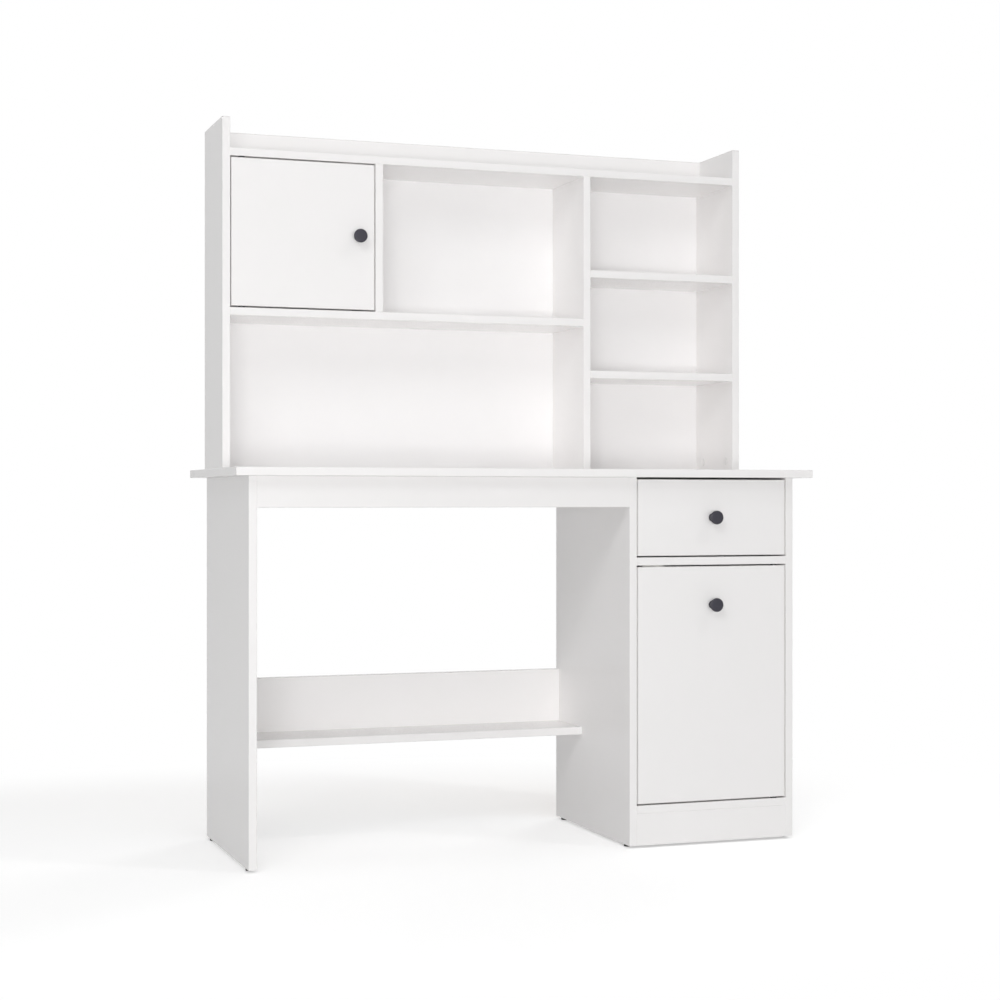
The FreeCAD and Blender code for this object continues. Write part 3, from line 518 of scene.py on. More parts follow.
@dataclass(frozen=True)
class LacqueredHardboard(Finish):
    """Hardboard of 3 mm, lacquered white on its face and bare on its back.

    The rolled lacquer is flatter than melamine, and the bare side is brown pressed fibre with a mesh print.
    """

    box: Box = field(kw_only=True)
    bare: Way = Way.BACK         # where its bare side looks
    white: Tones = Tones("F8F7F7", "F6F5F5", 60.0)
    fibre: Tones = Tones("8F6B46", "A9835A", 1.6, 4.0, crisp=True)
    rough: tuple[float, float] = (0.36, 0.78)        # of the lacquer and of the fibre
    # The screen that the wet board was pressed on leaves a mesh of about 1 mm. It is drawn at 2 mm.
    mesh: float = 2.0
    uneven: float = 0.15         # 0 is a square mesh, and 1 has no order
    relief: float = 0.1

    def dressed(self, tree: Tree, where: Socket) -> Inputs:
        """White on one side of its middle plane, and pressed fibre with the mesh on the other.

        Args:
            tree: the material's node tree.
            where: the coordinates, in metres.

        Returns:
            What the shader's sockets get.
        """
        parts = add_node(tree, "ShaderNodeSeparateXYZ", {0: where})
        bare = add_node(tree, "ShaderNodeMath", {0: parts.outputs[self.bare.axis],
                                                 1: self.box.middle[self.bare.axis] * MM},
                        operation="GREATER_THAN" if self.bare.sign > 0 else "LESS_THAN").outputs[0]
        colour = add_node(tree, "ShaderNodeMix", {"Factor": bare, 6: self.white.drawn(tree, where),
                                                  7: self.fibre.drawn(tree, where)}, data_type="RGBA")
        rough = add_node(tree, "ShaderNodeMapRange", {"Value": bare, "To Min": self.rough[0],
                                                      "To Max": self.rough[1]})
        mesh = add_node(tree, "ShaderNodeTexVoronoi", {"Vector": where, "Scale": 1 / (self.mesh * MM),
                                                       "Randomness": self.uneven})
        height = add_node(tree, "ShaderNodeMath", {0: mesh.outputs["Distance"], 1: bare}, operation="MULTIPLY")
        bump = add_node(tree, "ShaderNodeBump", {"Height": height.outputs[0], "Strength": 1.0,
                                                 "Distance": self.relief * MM})
        return {"Base Color": colour.outputs[2], "Roughness": rough.outputs["Result"],
                "Normal": bump.outputs["Normal"], "IOR": 1.5}


@dataclass(frozen=True)
class GraphiteLacquer(GrainedFinish):
    """Die-cast zinc, tumbled and sprayed with a graphite lacquer.

    A dark blue grey with a soft sheen, and a very fine spray texture that breaks up the highlight.
    """

    tones: Tones = Tones("25232E", "2B2935", 8.0)
    grain: Grain = Grain(0.9, 3.0, (0.40, 0.50), 0.01)
    constants: tuple[tuple[str, float], ...] = (("IOR", 1.52),)


@dataclass(frozen=True)
class PowderCoat(GrainedFinish):
    """Cold rolled steel strip, folded and powder coated.

    White with the low orange peel of baked powder, a few millimetres across.
    """

    tones: Tones = Tones("E6E6E4", "DFDFDD", 2.2, 1.0)
    grain: Grain = Grain(2.2, 1.0, (0.34, 0.34), 0.02)


@dataclass(frozen=True)
class ZincPlate(GrainedFinish):
    """Turned or stamped steel, bright zinc plated and passivated.

    A cool light grey metal with cloudy patches of gloss from the plating bath.
    """

    tones: Tones = Tones("C4C6C8", "AEB0B0", 3.0, 3.0)
    grain: Grain = Grain(3.0, 3.0, (0.24, 0.42), 0.004)
    constants: tuple[tuple[str, float], ...] = (("Metallic", 1.0),)


@dataclass(frozen=True)
class BeechPeg(GrainedFinish):
    """Beech rod, cut and fluted for gluing: pale pinkish wood with short dark flecks."""

    tones: Tones = Tones("C79E70", "D8B68C", 1.5, crisp=True)
    grain: Grain = Grain(1.5, 2.0, (0.6, 0.6), 0.03)


@dataclass(frozen=True)
class MouldedPolymer(Finish):
    """Injection moulded nylon, ABS, polypropylene or polyethylene.

    The mould's spark eroded grain gives a matt skin, and light goes a little way into pale nylon.
    """

    first: str = "E4E3DE"
    second: str = "DAD9D3"
    rough: float = 0.42
    varied: float = 0.05         # how far the roughness goes up and down
    patch: float = 6.0           # size of the tones' patches
    # The grain is about 0.1 mm. It is drawn at 0.7 mm.
    grain: float = 0.7
    relief: float = 0.01
    depth: float = 0.0           # share of light that scatters under the skin
    scatter: float = 1.0         # how far it goes there

    def dressed(self, tree: Tree, where: Socket) -> Inputs:
        """A moulded skin with its eroded grain.

        Args:
            tree: the material's node tree.
            where: the coordinates, in metres.

        Returns:
            What the shader's sockets get.
        """
        tones = Tones(self.first, self.second, self.patch)
        grain = Grain(self.grain, 2.0, (self.rough - self.varied, self.rough + self.varied), self.relief)
        return {"Base Color": tones.drawn(tree, where), **grain.drawn(tree, where), "IOR": 1.53,
                "Subsurface Weight": self.depth, "Subsurface Scale": self.scatter * MM}


GRAPHITE = GraphiteLacquer("zinc_casting_graphite_lacquered", "graphite_knob")
RAIL_COAT = PowderCoat("steel_strip_powder_coated", "white_rail_paint")
ZINC = ZincPlate("steel_zinc_plated", "zinc_steel")
MAGNET_POLE = ZincPlate("steel_pole_plate_blued", "zinc_steel", tones=Tones("77787A", "AEB0B0", 3.0, 3.0))
NYLON = MouldedPolymer("nylon_moulded", "white_nylon", depth=0.15)
BLACK_NYLON = MouldedPolymer("nylon_moulded_black", "black_nylon", "1B1B1C", "222223", 0.4)
CATCH_ABS = MouldedPolymer("abs_moulded_white", "white_catch_plastic", "E9E8E4", "E3E2DE", 0.3)
CAP_POLYMER = MouldedPolymer("polypropylene_moulded_white", "white_catch_plastic", "ECEBEA", "E8E7E6", 0.34)
GLIDE_POLYMER = MouldedPolymer("polyethylene_moulded_black", "black_glide_plastic", "0B0B0B", "101010", 0.5)
BEECH = BeechPeg("beech_turned")


def finish_node(node: str, finish: Finish) -> None:
    """Give a CAD node its finish, in every one of its material slots.

    Args:
        node: the node's name.
        finish: its finish.
    """
    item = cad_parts[node]
    made = finish.material()
    if not item.material_slots:
        item.data.materials.append(made)
    for slot in item.material_slots:
        slot.material = made
    log.info("finish %-28s %s", node, finish.name)


def add_piece(surface: Surface, name: str, body: str, finish: Finish, *nodes: str,
              sharp: float = 40.0) -> bpy.types.Object:
    """Make a piece, dress it, and let it ride on its body.

    Args:
        surface: the piece's surface.
        name: the piece's name.
        body: the CAD body that it moves with.
        finish: its finish.
        *nodes: the CAD nodes that it stands for.
        sharp: edges that turn by more than this many degrees stay crisp.

    Returns:
        The piece.
    """
    item = surface.piece(name, sharp)
    item.data.materials.append(finish.material())
    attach(item, body)
    if nodes:
        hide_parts(*nodes)
    log.info("piece  %-28s %6d points, on %s", name, len(surface.points), body)
    return item


# ---------------------------------------------------------------- small fittings, about local Z

@dataclass(frozen=True)
class Screw:
    """A pan head screw with a cross recess. Local Z = 0 is under its head, which is above."""

    head: float
    rise: float
    shank: float
    length: float
    rim: float = 0.25            # height of the head's upright rim, over its rise
    arm: float = 0.11            # width of the cross's arms, over the head's
    recess: float = 0.55         # reach of the cross, over the head's radius
    slope: float = 0.15          # width of the recess's walls
    sink: float = 0.6            # depth of the cross, over the rise
    deepest: float = 1.3         # the most that it may be

    def surface(self) -> Surface:
        """Turn the screw and sink the cross.

        Above the rim, the head's height at a share s of its radius is the fourth root of 1 - s^4, times the rest of
        its rise. The cross lowers each point above the rim by its depth times how far the point is inside one of
        two arms: a straight step over the slope, at their sides and at their ends.

        Returns:
            The closed surface.
        """
        radius, shaft = self.head / 2, self.shank / 2
        shares = np.r_[np.linspace(0, 0.62, 12), 0.72, 0.82, 0.9, 0.95, 0.98, 1.0][::-1]
        dome = self.rise * (self.rim + (1 - self.rim) * (1 - shares ** 4) ** 0.25)
        stem = [[0, -self.length], [shaft * 0.3, shaft * 0.2 - self.length], [shaft, 2 * shaft - self.length],
                [shaft, -0.01], [radius, 0.0]]
        screw = revolved(np.r_[stem, np.c_[shares * radius, dome]], 40)
        x, y, z = screw.points.T
        across, out = np.minimum(np.abs(x), np.abs(y)), np.maximum(np.abs(x), np.abs(y))
        sides = np.clip((self.arm * radius - across) / self.slope + 0.5, 0, 1)
        ends = np.clip((self.recess * radius - out) / self.slope + 0.5, 0, 1)
        depth = min(self.sink * self.rise, self.deepest)
        screw.points[:, 2] = z - np.where(z > self.rim * self.rise, sides * ends * depth, 0)
        return screw


@dataclass(frozen=True)
class Knob:
    """A turned mushroom knob: a foot, a cone to the waist, a flare and a flat rounded disc. Z = 0 is on the door."""

    disc: float = 28.0
    length: float = 24.0
    foot: float = 17.0
    foot_height: float = 1.8
    cone_height: float = 7.0     # where the cone runs into the waist
    waist: float = 10.5
    waist_height: float = 11.0
    rim: float = 6.0
    rounding: float = 2.2

    def surface(self) -> Surface:
        """Turn the knob, from the middle of its back to the middle of its face, which bulges by 0.5 mm."""
        foot, waist, disc, under = self.foot / 2, self.waist / 2, self.disc / 2, self.length - self.rim
        return turned([
            (0, 0, 0), (foot, 0, 0.5), (foot, self.foot_height, 0.5),
            (waist + 1.0, self.cone_height, 1.6), (waist, self.waist_height, 2.0),
            (waist + 1.4, under - 2.0, 1.6), (disc - 3.0, under - 0.4, 1.2),         # the flare
            (disc, under + 1.2, 1.0), (disc, self.length - 0.5, self.rounding),      # the rim
            (disc * 0.55, self.length - 0.12, 3.0), (0, self.length, 0)], 64, 7)


@dataclass(frozen=True)
class Roller:
    """A moulded roller with a crowned tread, hollow sides and a bored hub. Its inner side is at Z = 0."""

    diameter: float = 17.0
    width: float = 6.0
    bore: float = 4.2
    hub: float = 1.7             # wall of the hub
    rim: float = 1.8             # wall of the tread
    hollow: float = 0.9          # depth of the hollow in each side
    crown: float = 0.15          # how far the tread's middle stands out

    def surface(self) -> Surface:
        """Turn the closed profile of hub, web and tread, whose second half mirrors the first.

        Returns:
            The closed surface.
        """
        tread, hole = self.diameter / 2, self.bore / 2
        hub, rim = hole + self.hub, tread - self.rim
        half = np.array([(hole, 0, 0.15), (hub, 0, 0.2), (hub, self.hollow, 0.3), (rim, self.hollow, 0.3),
                         (rim, 0, 0.15), (tread - self.crown, 0, 0.4)])
        other = half[::-1] * [1, -1, 1] + [0, self.width, 0]
        return turned(np.r_[half, [(tread, self.width / 2, 2.0)], other], 64, 3, ring=True)


@dataclass(frozen=True)
class Button:
    """A flat button with a rounded rim, on Z = 0."""

    diameter: float
    rise: float
    rounding: float
    segments: int = 36

    def surface(self) -> Surface:
        """Turn a rectangle whose outer corner is cut off and eased."""
        radius, rise = self.diameter / 2, self.rise
        return turned([(0, 0, 0), (radius, 0, 0), (radius, rise * 0.35, rise * 0.3),
                       (radius - self.rounding, rise, self.rounding * 0.6), (0, rise, 0)], self.segments, 3)


@dataclass(frozen=True)
class Rivet:
    """A rivet with a low domed head. Z = 0 is the strip that its foot is set in."""

    shank: float = 4.0
    head: float = 6.5
    foot: float = 0.5            # how far it goes into the strip
    grip: float = 6.3            # strip to head, past the roller
    dome: float = 0.9            # height of the head

    def surface(self) -> Surface:
        """Turn the shank and the head."""
        shaft, radius, top = self.shank / 2, self.head / 2, self.grip + self.dome
        return turned([(0, -self.foot, 0), (shaft, -self.foot, 0), (shaft, self.grip, 0.1), (radius, self.grip, 0.1),
                       (radius - 0.35, top - 0.2, 0.7), (0, top, 0)], 32, 4)


# ---------------------------------------------------------------- sub-assemblies

@dataclass
class Boards:
    """All the melamine boards and hardboard panels. They are the CAD nodes, with their edges told apart."""

    boards: tuple[tuple[tuple[Way, ...], tuple[Way, ...], tuple[str, ...]], ...] = (
        # banded edges, sawn edges that stay bare, and the boards that have them
        ((Way.FRONT, Way.BACK, Way.LEFT, Way.RIGHT), (), ("desktop",)),
        ((Way.FRONT,), (Way.BACK,), ("left_leg_panel", "cabinet_left_panel", "cabinet_right_panel",
                                     "cabinet_middle_board", "cabinet_bottom_board")),
        ((Way.DOWN,), (), ("front_apron",)),
        ((Way.UP,), (), ("low_back_board", "hutch_back_rail")),
        ((Way.FRONT, Way.UP), (Way.BACK,), ("hutch_left_side", "hutch_right_side")),
        ((Way.FRONT,), (), ("low_shelf", "hutch_top_shelf", "hutch_lower_shelf", "hutch_tall_divider",
                            "hutch_short_divider", "corner_shelf_lower", "corner_shelf_upper")),
        ((Way.LEFT, Way.RIGHT, Way.UP, Way.DOWN), (), ("hutch_door_panel", "lower_door_panel", "drawer_front")),
        ((), (Way.BACK,), ("drawer_left_side", "drawer_right_side")),
        ((), (), ("cabinet_plinth", "drawer_box_front", "drawer_box_back")),
    )
    panels: tuple[tuple[str, Way], ...] = (      # hardboard, and where its bare side looks
        ("hutch_back_panel", Way.BACK), ("cabinet_back_panel", Way.BACK), ("drawer_bottom", Way.DOWN))

    def build(self) -> None:
        """Finish each board and each hardboard panel."""
        for banded, sawn, nodes in self.boards:
            for node in nodes:
                finish_node(node, MelamineBoard(f"melamine_{node}", box=Box.of(node), banded=banded, sawn=sawn))
        for node, bare in self.panels:
            finish_node(node, LacqueredHardboard(f"hardboard_{node}", box=Box.of(node), bare=bare))


@dataclass
class CamLocks:
    """Cam locks and dowels inside the boards, and a snap cap over each cam that shows."""

    cap: Button = Button(diameter=17.0, rise=1.1, rounding=0.9)
    setback: float = 24.0        # cam's centre from the end of its board
    desk_inset: float = 60.0     # cams from the front and back of the desk's panels
    hutch_inset: float = 35.0    # cams from the front and back of the hutch's sides

    def build(self) -> None:
        """Finish the hidden fittings and put the caps on."""
        for node, finish in (("cam_discs", ZINC), ("cam_bolts", ZINC), ("wood_dowels", BEECH)):
            finish_node(node, finish)
        top = Box.of("left_leg_panel").high[2] - self.setback
        foot = Box.of("hutch_left_side").low[2] + self.setback
        rightward = (self.upright("left_leg_panel", Way.RIGHT, self.desk_inset, top)
                     + self.upright("cabinet_left_panel", Way.RIGHT, self.desk_inset, top)
                     + self.upright("hutch_left_side", Way.RIGHT, self.hutch_inset, foot))
        leftward = (self.upright("cabinet_right_panel", Way.LEFT, self.desk_inset, top)
                    + self.upright("hutch_right_side", Way.LEFT, self.hutch_inset, foot))
        backward = (self.level("front_apron", Box.of("front_apron").low[2])
                    + self.level("low_back_board", Box.of("low_shelf").high[2]))
        cap = self.cap.surface()
        caps = cap.at(rightward, Way.RIGHT) + cap.at(leftward, Way.LEFT) + cap.at(backward, Way.BACK)
        add_piece(caps, "cam_caps", "desk", CAP_POLYMER)

    def upright(self, board: str, out: Way, inset: float, height: float) -> Rows:
        """Two places on one face of an upright board, that far from its front and back."""
        box = Box.of(board)
        return [(box.side(out), row, height) for row in (box.low[1] + inset, box.high[1] - inset)]

    def level(self, board: str, foot: float) -> Rows:
        """Two places near the ends of a level board's back, half way from a height to its top."""
        box = Box.of(board)
        return [(x, box.high[1], (foot + box.high[2]) / 2)
                for x in (box.low[0] + self.setback, box.high[0] - self.setback)]


@dataclass
class BackNails:
    """Panel nails that hold the two hardboard backs."""

    head: float = 5.0
    rounding: float = 0.4
    sides: int = 12
    sunk: float = 0.5            # how far a head goes into the panel
    hutch_proud: float = 0.05    # how far it stands out
    cabinet_proud: float = 0.5
    pitch: float = 110.0         # nails are about this far apart
    hutch_side: float = 40.0     # first nails from the sides, foot and top of the hutch's panel
    hutch_foot: float = 30.0
    hutch_top: float = 110.0
    cabinet_side: float = 60.0   # and of the cabinet's
    cabinet_foot: float = 40.0
    cabinet_top: float = 20.0

    def build(self) -> None:
        """Set nails along the edges of each back and along the boards behind it."""
        panel = Box.of("hutch_back_panel")
        left, right = panel.low[0] + self.hutch_side, panel.high[0] - self.hutch_side
        rows = {"hutch_top_shelf": right, "hutch_lower_shelf": Box.of("hutch_tall_divider").middle[0],
                "hutch_back_rail": right}
        spots = [self.row(left, end, Box.of(node).middle[2]) for node, end in rows.items()]
        spots += [self.column(node, panel.low[2] + self.hutch_foot, panel.high[2] - self.hutch_top)
                  for node in ("hutch_left_side", "hutch_right_side", "hutch_tall_divider")]
        self.nails("hutch_back_nails", spots, panel.high[1], self.hutch_proud)
        panel = Box.of("cabinet_back_panel")
        left, right = panel.low[0] + self.cabinet_side, panel.high[0] - self.cabinet_side
        spots = [self.column(node, panel.low[2] + self.cabinet_foot, panel.high[2] - self.cabinet_top)
                 for node in ("cabinet_left_panel", "cabinet_right_panel")]
        spots += [self.row(left, right, Box.of(node).middle[2])
                  for node in ("cabinet_middle_board", "cabinet_bottom_board")]
        self.nails("cabinet_back_nails", spots, panel.high[1], self.cabinet_proud)

    def row(self, start: float, end: float, height: float) -> Array:
        """Equal steps along X at one height, as rows of X and Z."""
        steps = np.linspace(start, end, max(2, round((end - start) / self.pitch) + 1))
        return np.c_[steps, np.full(len(steps), height)]

    def column(self, node: str, start: float, end: float) -> Array:
        """Equal steps up Z along the middle of a board, as rows of X and Z."""
        return self.row(start, end, Box.of(node).middle[0])[:, ::-1]

    def nails(self, name: str, spots: list[Array], back: float, proud: float) -> None:
        """Put the low dome of a nail's head on each spot.

        Args:
            name: the piece's name.
            spots: the nails' places, as arrays of X and Z.
            back: Y of the panel's back.
            proud: how far the heads stand out of it.
        """
        across, height = np.concatenate(spots).T
        head = Button(self.head, self.sunk + proud, self.rounding, self.sides).surface()
        places = np.c_[across, np.full(len(across), back - self.sunk), height]
        add_piece(head.at(places, Way.BACK), name, "desk", ZINC)


@dataclass
class Glides:
    """Nail-on floor glides under the panels."""

    diameter: float = 15.0
    height: float = 5.0
    foot: tuple[float, float, float] = (0.8, 0.9, 0.6)      # its chamfer inwards and up, and their easing
    inset: float = 30.0          # from a panel's front and back

    def build(self) -> None:
        """Turn one glide with a rounded foot and set it under both ends of each panel."""
        radius, (inward, rise, easing) = self.diameter / 2, self.foot
        glide = turned([(0, 0, 0), (radius - inward, 0, easing), (radius, rise, easing), (radius, self.height, 0),
                        (0, self.height, 0)], 40, 4)
        boxes = [Box.of(node) for node in ("left_leg_panel", "cabinet_left_panel", "cabinet_right_panel")]
        spots = [(box.middle[0], row, 0.0) for box in boxes
                 for row in (box.low[1] + self.inset, box.high[1] - self.inset)]
        add_piece(glide.at(spots, Way.UP), "turned_glides", "desk", GLIDE_POLYMER, "floor_glides")


@dataclass
class Front:
    """What a door or a drawer front carries on it: its knob, and the screw that holds it from behind."""

    body: str
    node: str                    # the CAD knob's name, also in the screw's
    grip: float                  # boards that the screw passes
    thread: float = 9.0          # how far it goes into the knob
    knob: Knob = Knob()

    def build(self) -> None:
        """Turn the knob and its screw in the place of the CAD ones."""
        spot = Box.of(self.node).face(Way.BACK)
        screw = Screw(head=8.5, rise=2.4, shank=4.0, length=self.grip + self.thread).surface()
        add_piece(self.knob.surface().at(spot, Way.FRONT), f"turned_{self.node}", self.body, GRAPHITE, self.node,
                  sharp=50.0)
        add_piece(screw.at(spot + [0, self.grip, 0], Way.BACK), f"turned_{self.node}_screw", self.body, ZINC,
                  f"{self.node}_screw")


@dataclass
class DoorFittings:
    """The pivots, catch and strike plate of one door."""

    name: str
    pin: float = 5.0
    play: float = 0.1
    reach: float = 8.0           # pin inside its bush, under the flange
    gap: float = 3.0             # door to the board above or below
    clear: float = 0.3           # flange to door, and pin to the bush's closed end
    tang: float = 14.0           # pin inside the door
    wall: float = 2.0            # of the bush
    base: float = 1.5            # thickness of its closed end
    flange: float = 13.0
    ear: float = 7.0             # width of each of the catch's ears
    ear_thick: float = 3.0
    pole_margin: float = 4.0     # between the catch's sides and its pole plates
    pole_high: float = 2.2
    pole_proud: float = 0.15
    pole_levels: tuple[float, float] = (3.2, 7.6)
    catch_screw: Screw = Screw(head=5.6, rise=1.5, shank=2.8, length=2.6)
    strike_corner: float = 2.0
    strike_edge: float = 0.15

    def build(self) -> None:
        """Build the bushes, pins, catch and strike. One bush and one pin serve both ends of the door."""
        box = Box.of(f"{self.name}_bushes")
        bore, flange, rim, depth = (self.pin / 2 + self.play, self.flange / 2, self.gap - self.clear,
                                    self.reach + self.base)
        bush = turned([(0, -depth, 0), (bore + self.wall, -depth, 0.4), (bore + self.wall, 0, 0), (flange, 0, 0.2),
                       (flange, rim, 0.5), (bore, rim, 0.3), (bore, -self.reach, 0.1), (0, -self.reach, 0)], 40, 3)
        radius, foot, head = self.pin / 2, self.clear - self.reach, self.gap + self.tang
        pin = turned([(0, foot, 0), (radius, foot, 0.4), (radius, head, 0.4), (0, head, 0)], 40, 3)
        low, high = box.face(Way.DOWN) + [0, 0, depth], box.face(Way.UP) - [0, 0, depth]
        add_piece(bush.at(low, Way.UP) + bush.at(high, Way.DOWN), f"turned_{self.name}_bushes", "desk",
                  BLACK_NYLON, f"{self.name}_bushes")
        add_piece(pin.at(low, Way.UP) + pin.at(high, Way.DOWN), f"turned_{self.name}_pins", self.name, ZINC,
                  f"{self.name}_pivot_pins")
        self.catch()
        self.strike()

    def catch(self) -> None:
        """The catch: a moulded body between two screwed ears, with two pole plates at its mouth."""
        box = Box.of(f"{self.name}_catch")
        wide, _, rise = box.size
        ear, step = self.ear, rise - self.ear_thick
        outline = np.array([(ear, 0, 1.2), (wide - ear, 0, 1.2), (wide - ear, step, 0.6), (wide, step, 0.5),
                            (wide, rise, 0), (0, rise, 0), (0, step, 0.5), (ear, step, 0.6)])
        moulded = swept(outline + [box.low[0], box.low[2], 0], box.low[1], box.high[1])
        add_piece(moulded, f"moulded_{self.name}_catch", "desk", CATCH_ABS, f"{self.name}_catch")
        pole = plate(wide - 2 * (ear + self.pole_margin), self.pole_high, self.pole_proud, 0.3, 0.05)
        spots = [(box.middle[0], box.low[1], box.low[2] + level) for level in self.pole_levels]
        add_piece(pole.at(spots, Way.FRONT, Way.RIGHT), f"{self.name}_pole_plates", "desk", MAGNET_POLE)
        spots = [(x, box.middle[1], box.high[2] - self.ear_thick)
                 for x in (box.low[0] + ear / 2, box.high[0] - ear / 2)]
        add_piece(self.catch_screw.surface().at(spots, Way.DOWN), f"{self.name}_catch_screws", "desk", ZINC)

    def strike(self) -> None:
        """The strike plate on the back of the door."""
        box = Box.of(f"{self.name}_strike")
        wide, thick, high = box.size
        flat = plate(wide, high, thick, self.strike_corner, self.strike_edge)
        add_piece(flat.at(box.face(Way.FRONT), Way.BACK, Way.LEFT), f"stamped_{self.name}_strike", self.name, ZINC,
                  f"{self.name}_strike")


@dataclass
class DrawerSlides:
    """Both roller slides: folded rails and runners, their screws, rollers and rivets."""

    sheet: float = 1.2
    bend: float = 1.5            # easing outside a fold
    fold: float = 0.5            # easing inside a fold
    lip: float = 0.4             # easing of the strip's edges
    roller: Roller = Roller()
    rivet: Rivet = Rivet()
    screw: Screw = Screw(head=6.5, rise=0.6, shank=3.0, length=1.0)
    rail_inset: float = 50.0     # first and last screw from the rail's ends
    runner_inset: float = 70.0   # and from the runner's
    screw_height: float = 13.5   # a runner's screws over the drawer's foot

    def build(self) -> None:
        """Build each side's rail, runner and rollers, then the rivets."""
        for hand, inward in (("left", Way.RIGHT), ("right", Way.LEFT)):
            self.rail(hand, inward)
            self.runner(hand, inward)
            for node, out in ((f"rail_roller_{hand}", inward), (f"runner_roller_{hand}", inward.opposite)):
                wheel = self.roller.surface().at(Box.of(node).face(out.opposite), out)
                add_piece(wheel, f"turned_{node}", node, NYLON, node)
        self.rivets("rail_axles", "desk", "rail_roller", Way.RIGHT)
        self.rivets("runner_axles", "drawer", "runner_roller", Way.LEFT)

    def rail(self, hand: str, inward: Way) -> None:
        """The cabinet's rail: a channel with rounded bends.

        Args:
            hand: left or right.
            inward: from that side of the cabinet to the drawer.
        """
        node = f"slide_rail_{hand}"
        box, sheet, bend, fold, lip = Box.of(node), self.sheet, self.bend, self.fold, self.lip
        base, (flange, _, rise) = box.side(inward.opposite), box.size
        channel = np.array([(0, 0, bend), (flange, 0, lip), (flange, sheet, lip), (sheet, sheet, fold),
                            (sheet, rise - sheet, fold), (flange, rise - sheet, lip), (flange, rise, lip),
                            (0, rise, bend)])
        outline = channel * [inward.sign, 1, 1] + [base, box.low[2], 0]
        web = (base + inward.sign * sheet, box.middle[2])
        self.strip(node, "desk", outline, web, inward, self.rail_inset)

    def runner(self, hand: str, inward: Way) -> None:
        """The drawer's runner: a ledge, a web and a top flange with rounded bends.

        Args:
            hand: left or right.
            inward: from that side of the cabinet to the drawer.
        """
        node = f"drawer_runner_{hand}"
        box, side = Box.of(node), Box.of(f"drawer_{hand}_side")
        sheet, bend, fold, lip = self.sheet, self.bend, self.fold, self.lip
        face, foot, top = side.side(inward.opposite), side.low[2], box.high[2]
        tip, ledge = abs(box.side(inward.opposite) - face), abs(box.side(inward) - face)
        angle = np.array([(-tip, top - sheet, lip), (-sheet, top - sheet, fold), (-sheet, foot - sheet, bend),
                          (ledge, foot - sheet, lip), (ledge, foot, lip), (0, foot, fold), (0, top, bend),
                          (-tip, top, lip)])
        outline = angle * [inward.sign, 1, 1] + [face, 0, 0]
        web = (face - inward.sign * sheet, foot + self.screw_height)
        self.strip(node, "drawer", outline, web, inward.opposite, self.runner_inset)

    def strip(self, node: str, body: str, outline: Array, web: tuple[float, float], out: Way,
              inset: float) -> None:
        """Carry a folded strip's outline along its node's length, and put three low screw heads on its web.

        Args:
            node: the CAD node that it stands for.
            body: the body that it rides on.
            outline: its corners, as rows of X, Z and easing.
            web: X of the web's face, and Z of its screws.
            out: where that face looks.
            inset: first and last screw from the ends.
        """
        box = Box.of(node)
        add_piece(swept(outline, box.low[1], box.high[1]), f"folded_{node}", body, RAIL_COAT, node)
        spots = [(web[0], y, web[1]) for y in np.linspace(box.low[1] + inset, box.high[1] - inset, 3)]
        add_piece(self.screw.surface().at(spots, out), f"{node}_screws", body, ZINC)

    def rivets(self, node: str, body: str, roller: str, out: Way) -> None:
        """Both rivets of one pair, each from its strip through its roller.

        Args:
            node: the CAD node that they stand for.
            body: the body that they ride on.
            roller: both rollers' names, up to the hand.
            out: where the left one's head looks. The right one's looks the other way.
        """
        left, right = (self.rivet.surface().at(Box.of(f"{roller}_{hand}").face(way.opposite), way)
                       for hand, way in (("left", out), ("right", out.opposite)))
        add_piece(left + right, f"turned_{node}", body, ZINC, node)


@dataclass
class DrawerScrews:
    """The two screws that hold the drawer's front to its box."""

    screw: Screw = Screw(head=8.0, rise=2.0, shank=4.0, length=23.0)

    def build(self) -> None:
        """Turn both screws in the place of the CAD ones."""
        box, back, radius = Box.of("drawer_front_screws"), Box.of("drawer_box_front").high[1], self.screw.head / 2
        spots = [(x, back, box.middle[2]) for x in (box.low[0] + radius, box.high[0] - radius)]
        add_piece(self.screw.surface().at(spots, Way.BACK), "turned_drawer_front_screws", "drawer", ZINC,
                  "drawer_front_screws")


# ---------------------------------------------------------------- floor, light and camera, in metres

class Ray(Enum):
    """The kinds of ray that may see the studio's white."""

    CAMERA = "Is Camera Ray"
    GLOSSY = "Is Glossy Ray"
    TRANSMISSION = "Is Transmission Ray"


def on_rays(tree: Tree, *kinds: Ray) -> Socket:
    """Tell rays of some kinds from others.

    Args:
        tree: the node tree.
        *kinds: the kinds.

    Returns:
        1 for a ray of one of the kinds and 0 for others, which is the greatest of the kinds' own values.
    """
    rays = add_node(tree, "ShaderNodeLightPath")
    shown = rays.outputs[kinds[0].value]
    for kind in kinds[1:]:
        shown = add_node(tree, "ShaderNodeMath", {0: shown, 1: rays.outputs[kind.value]},
                         operation="MAXIMUM").outputs[0]
    return shown


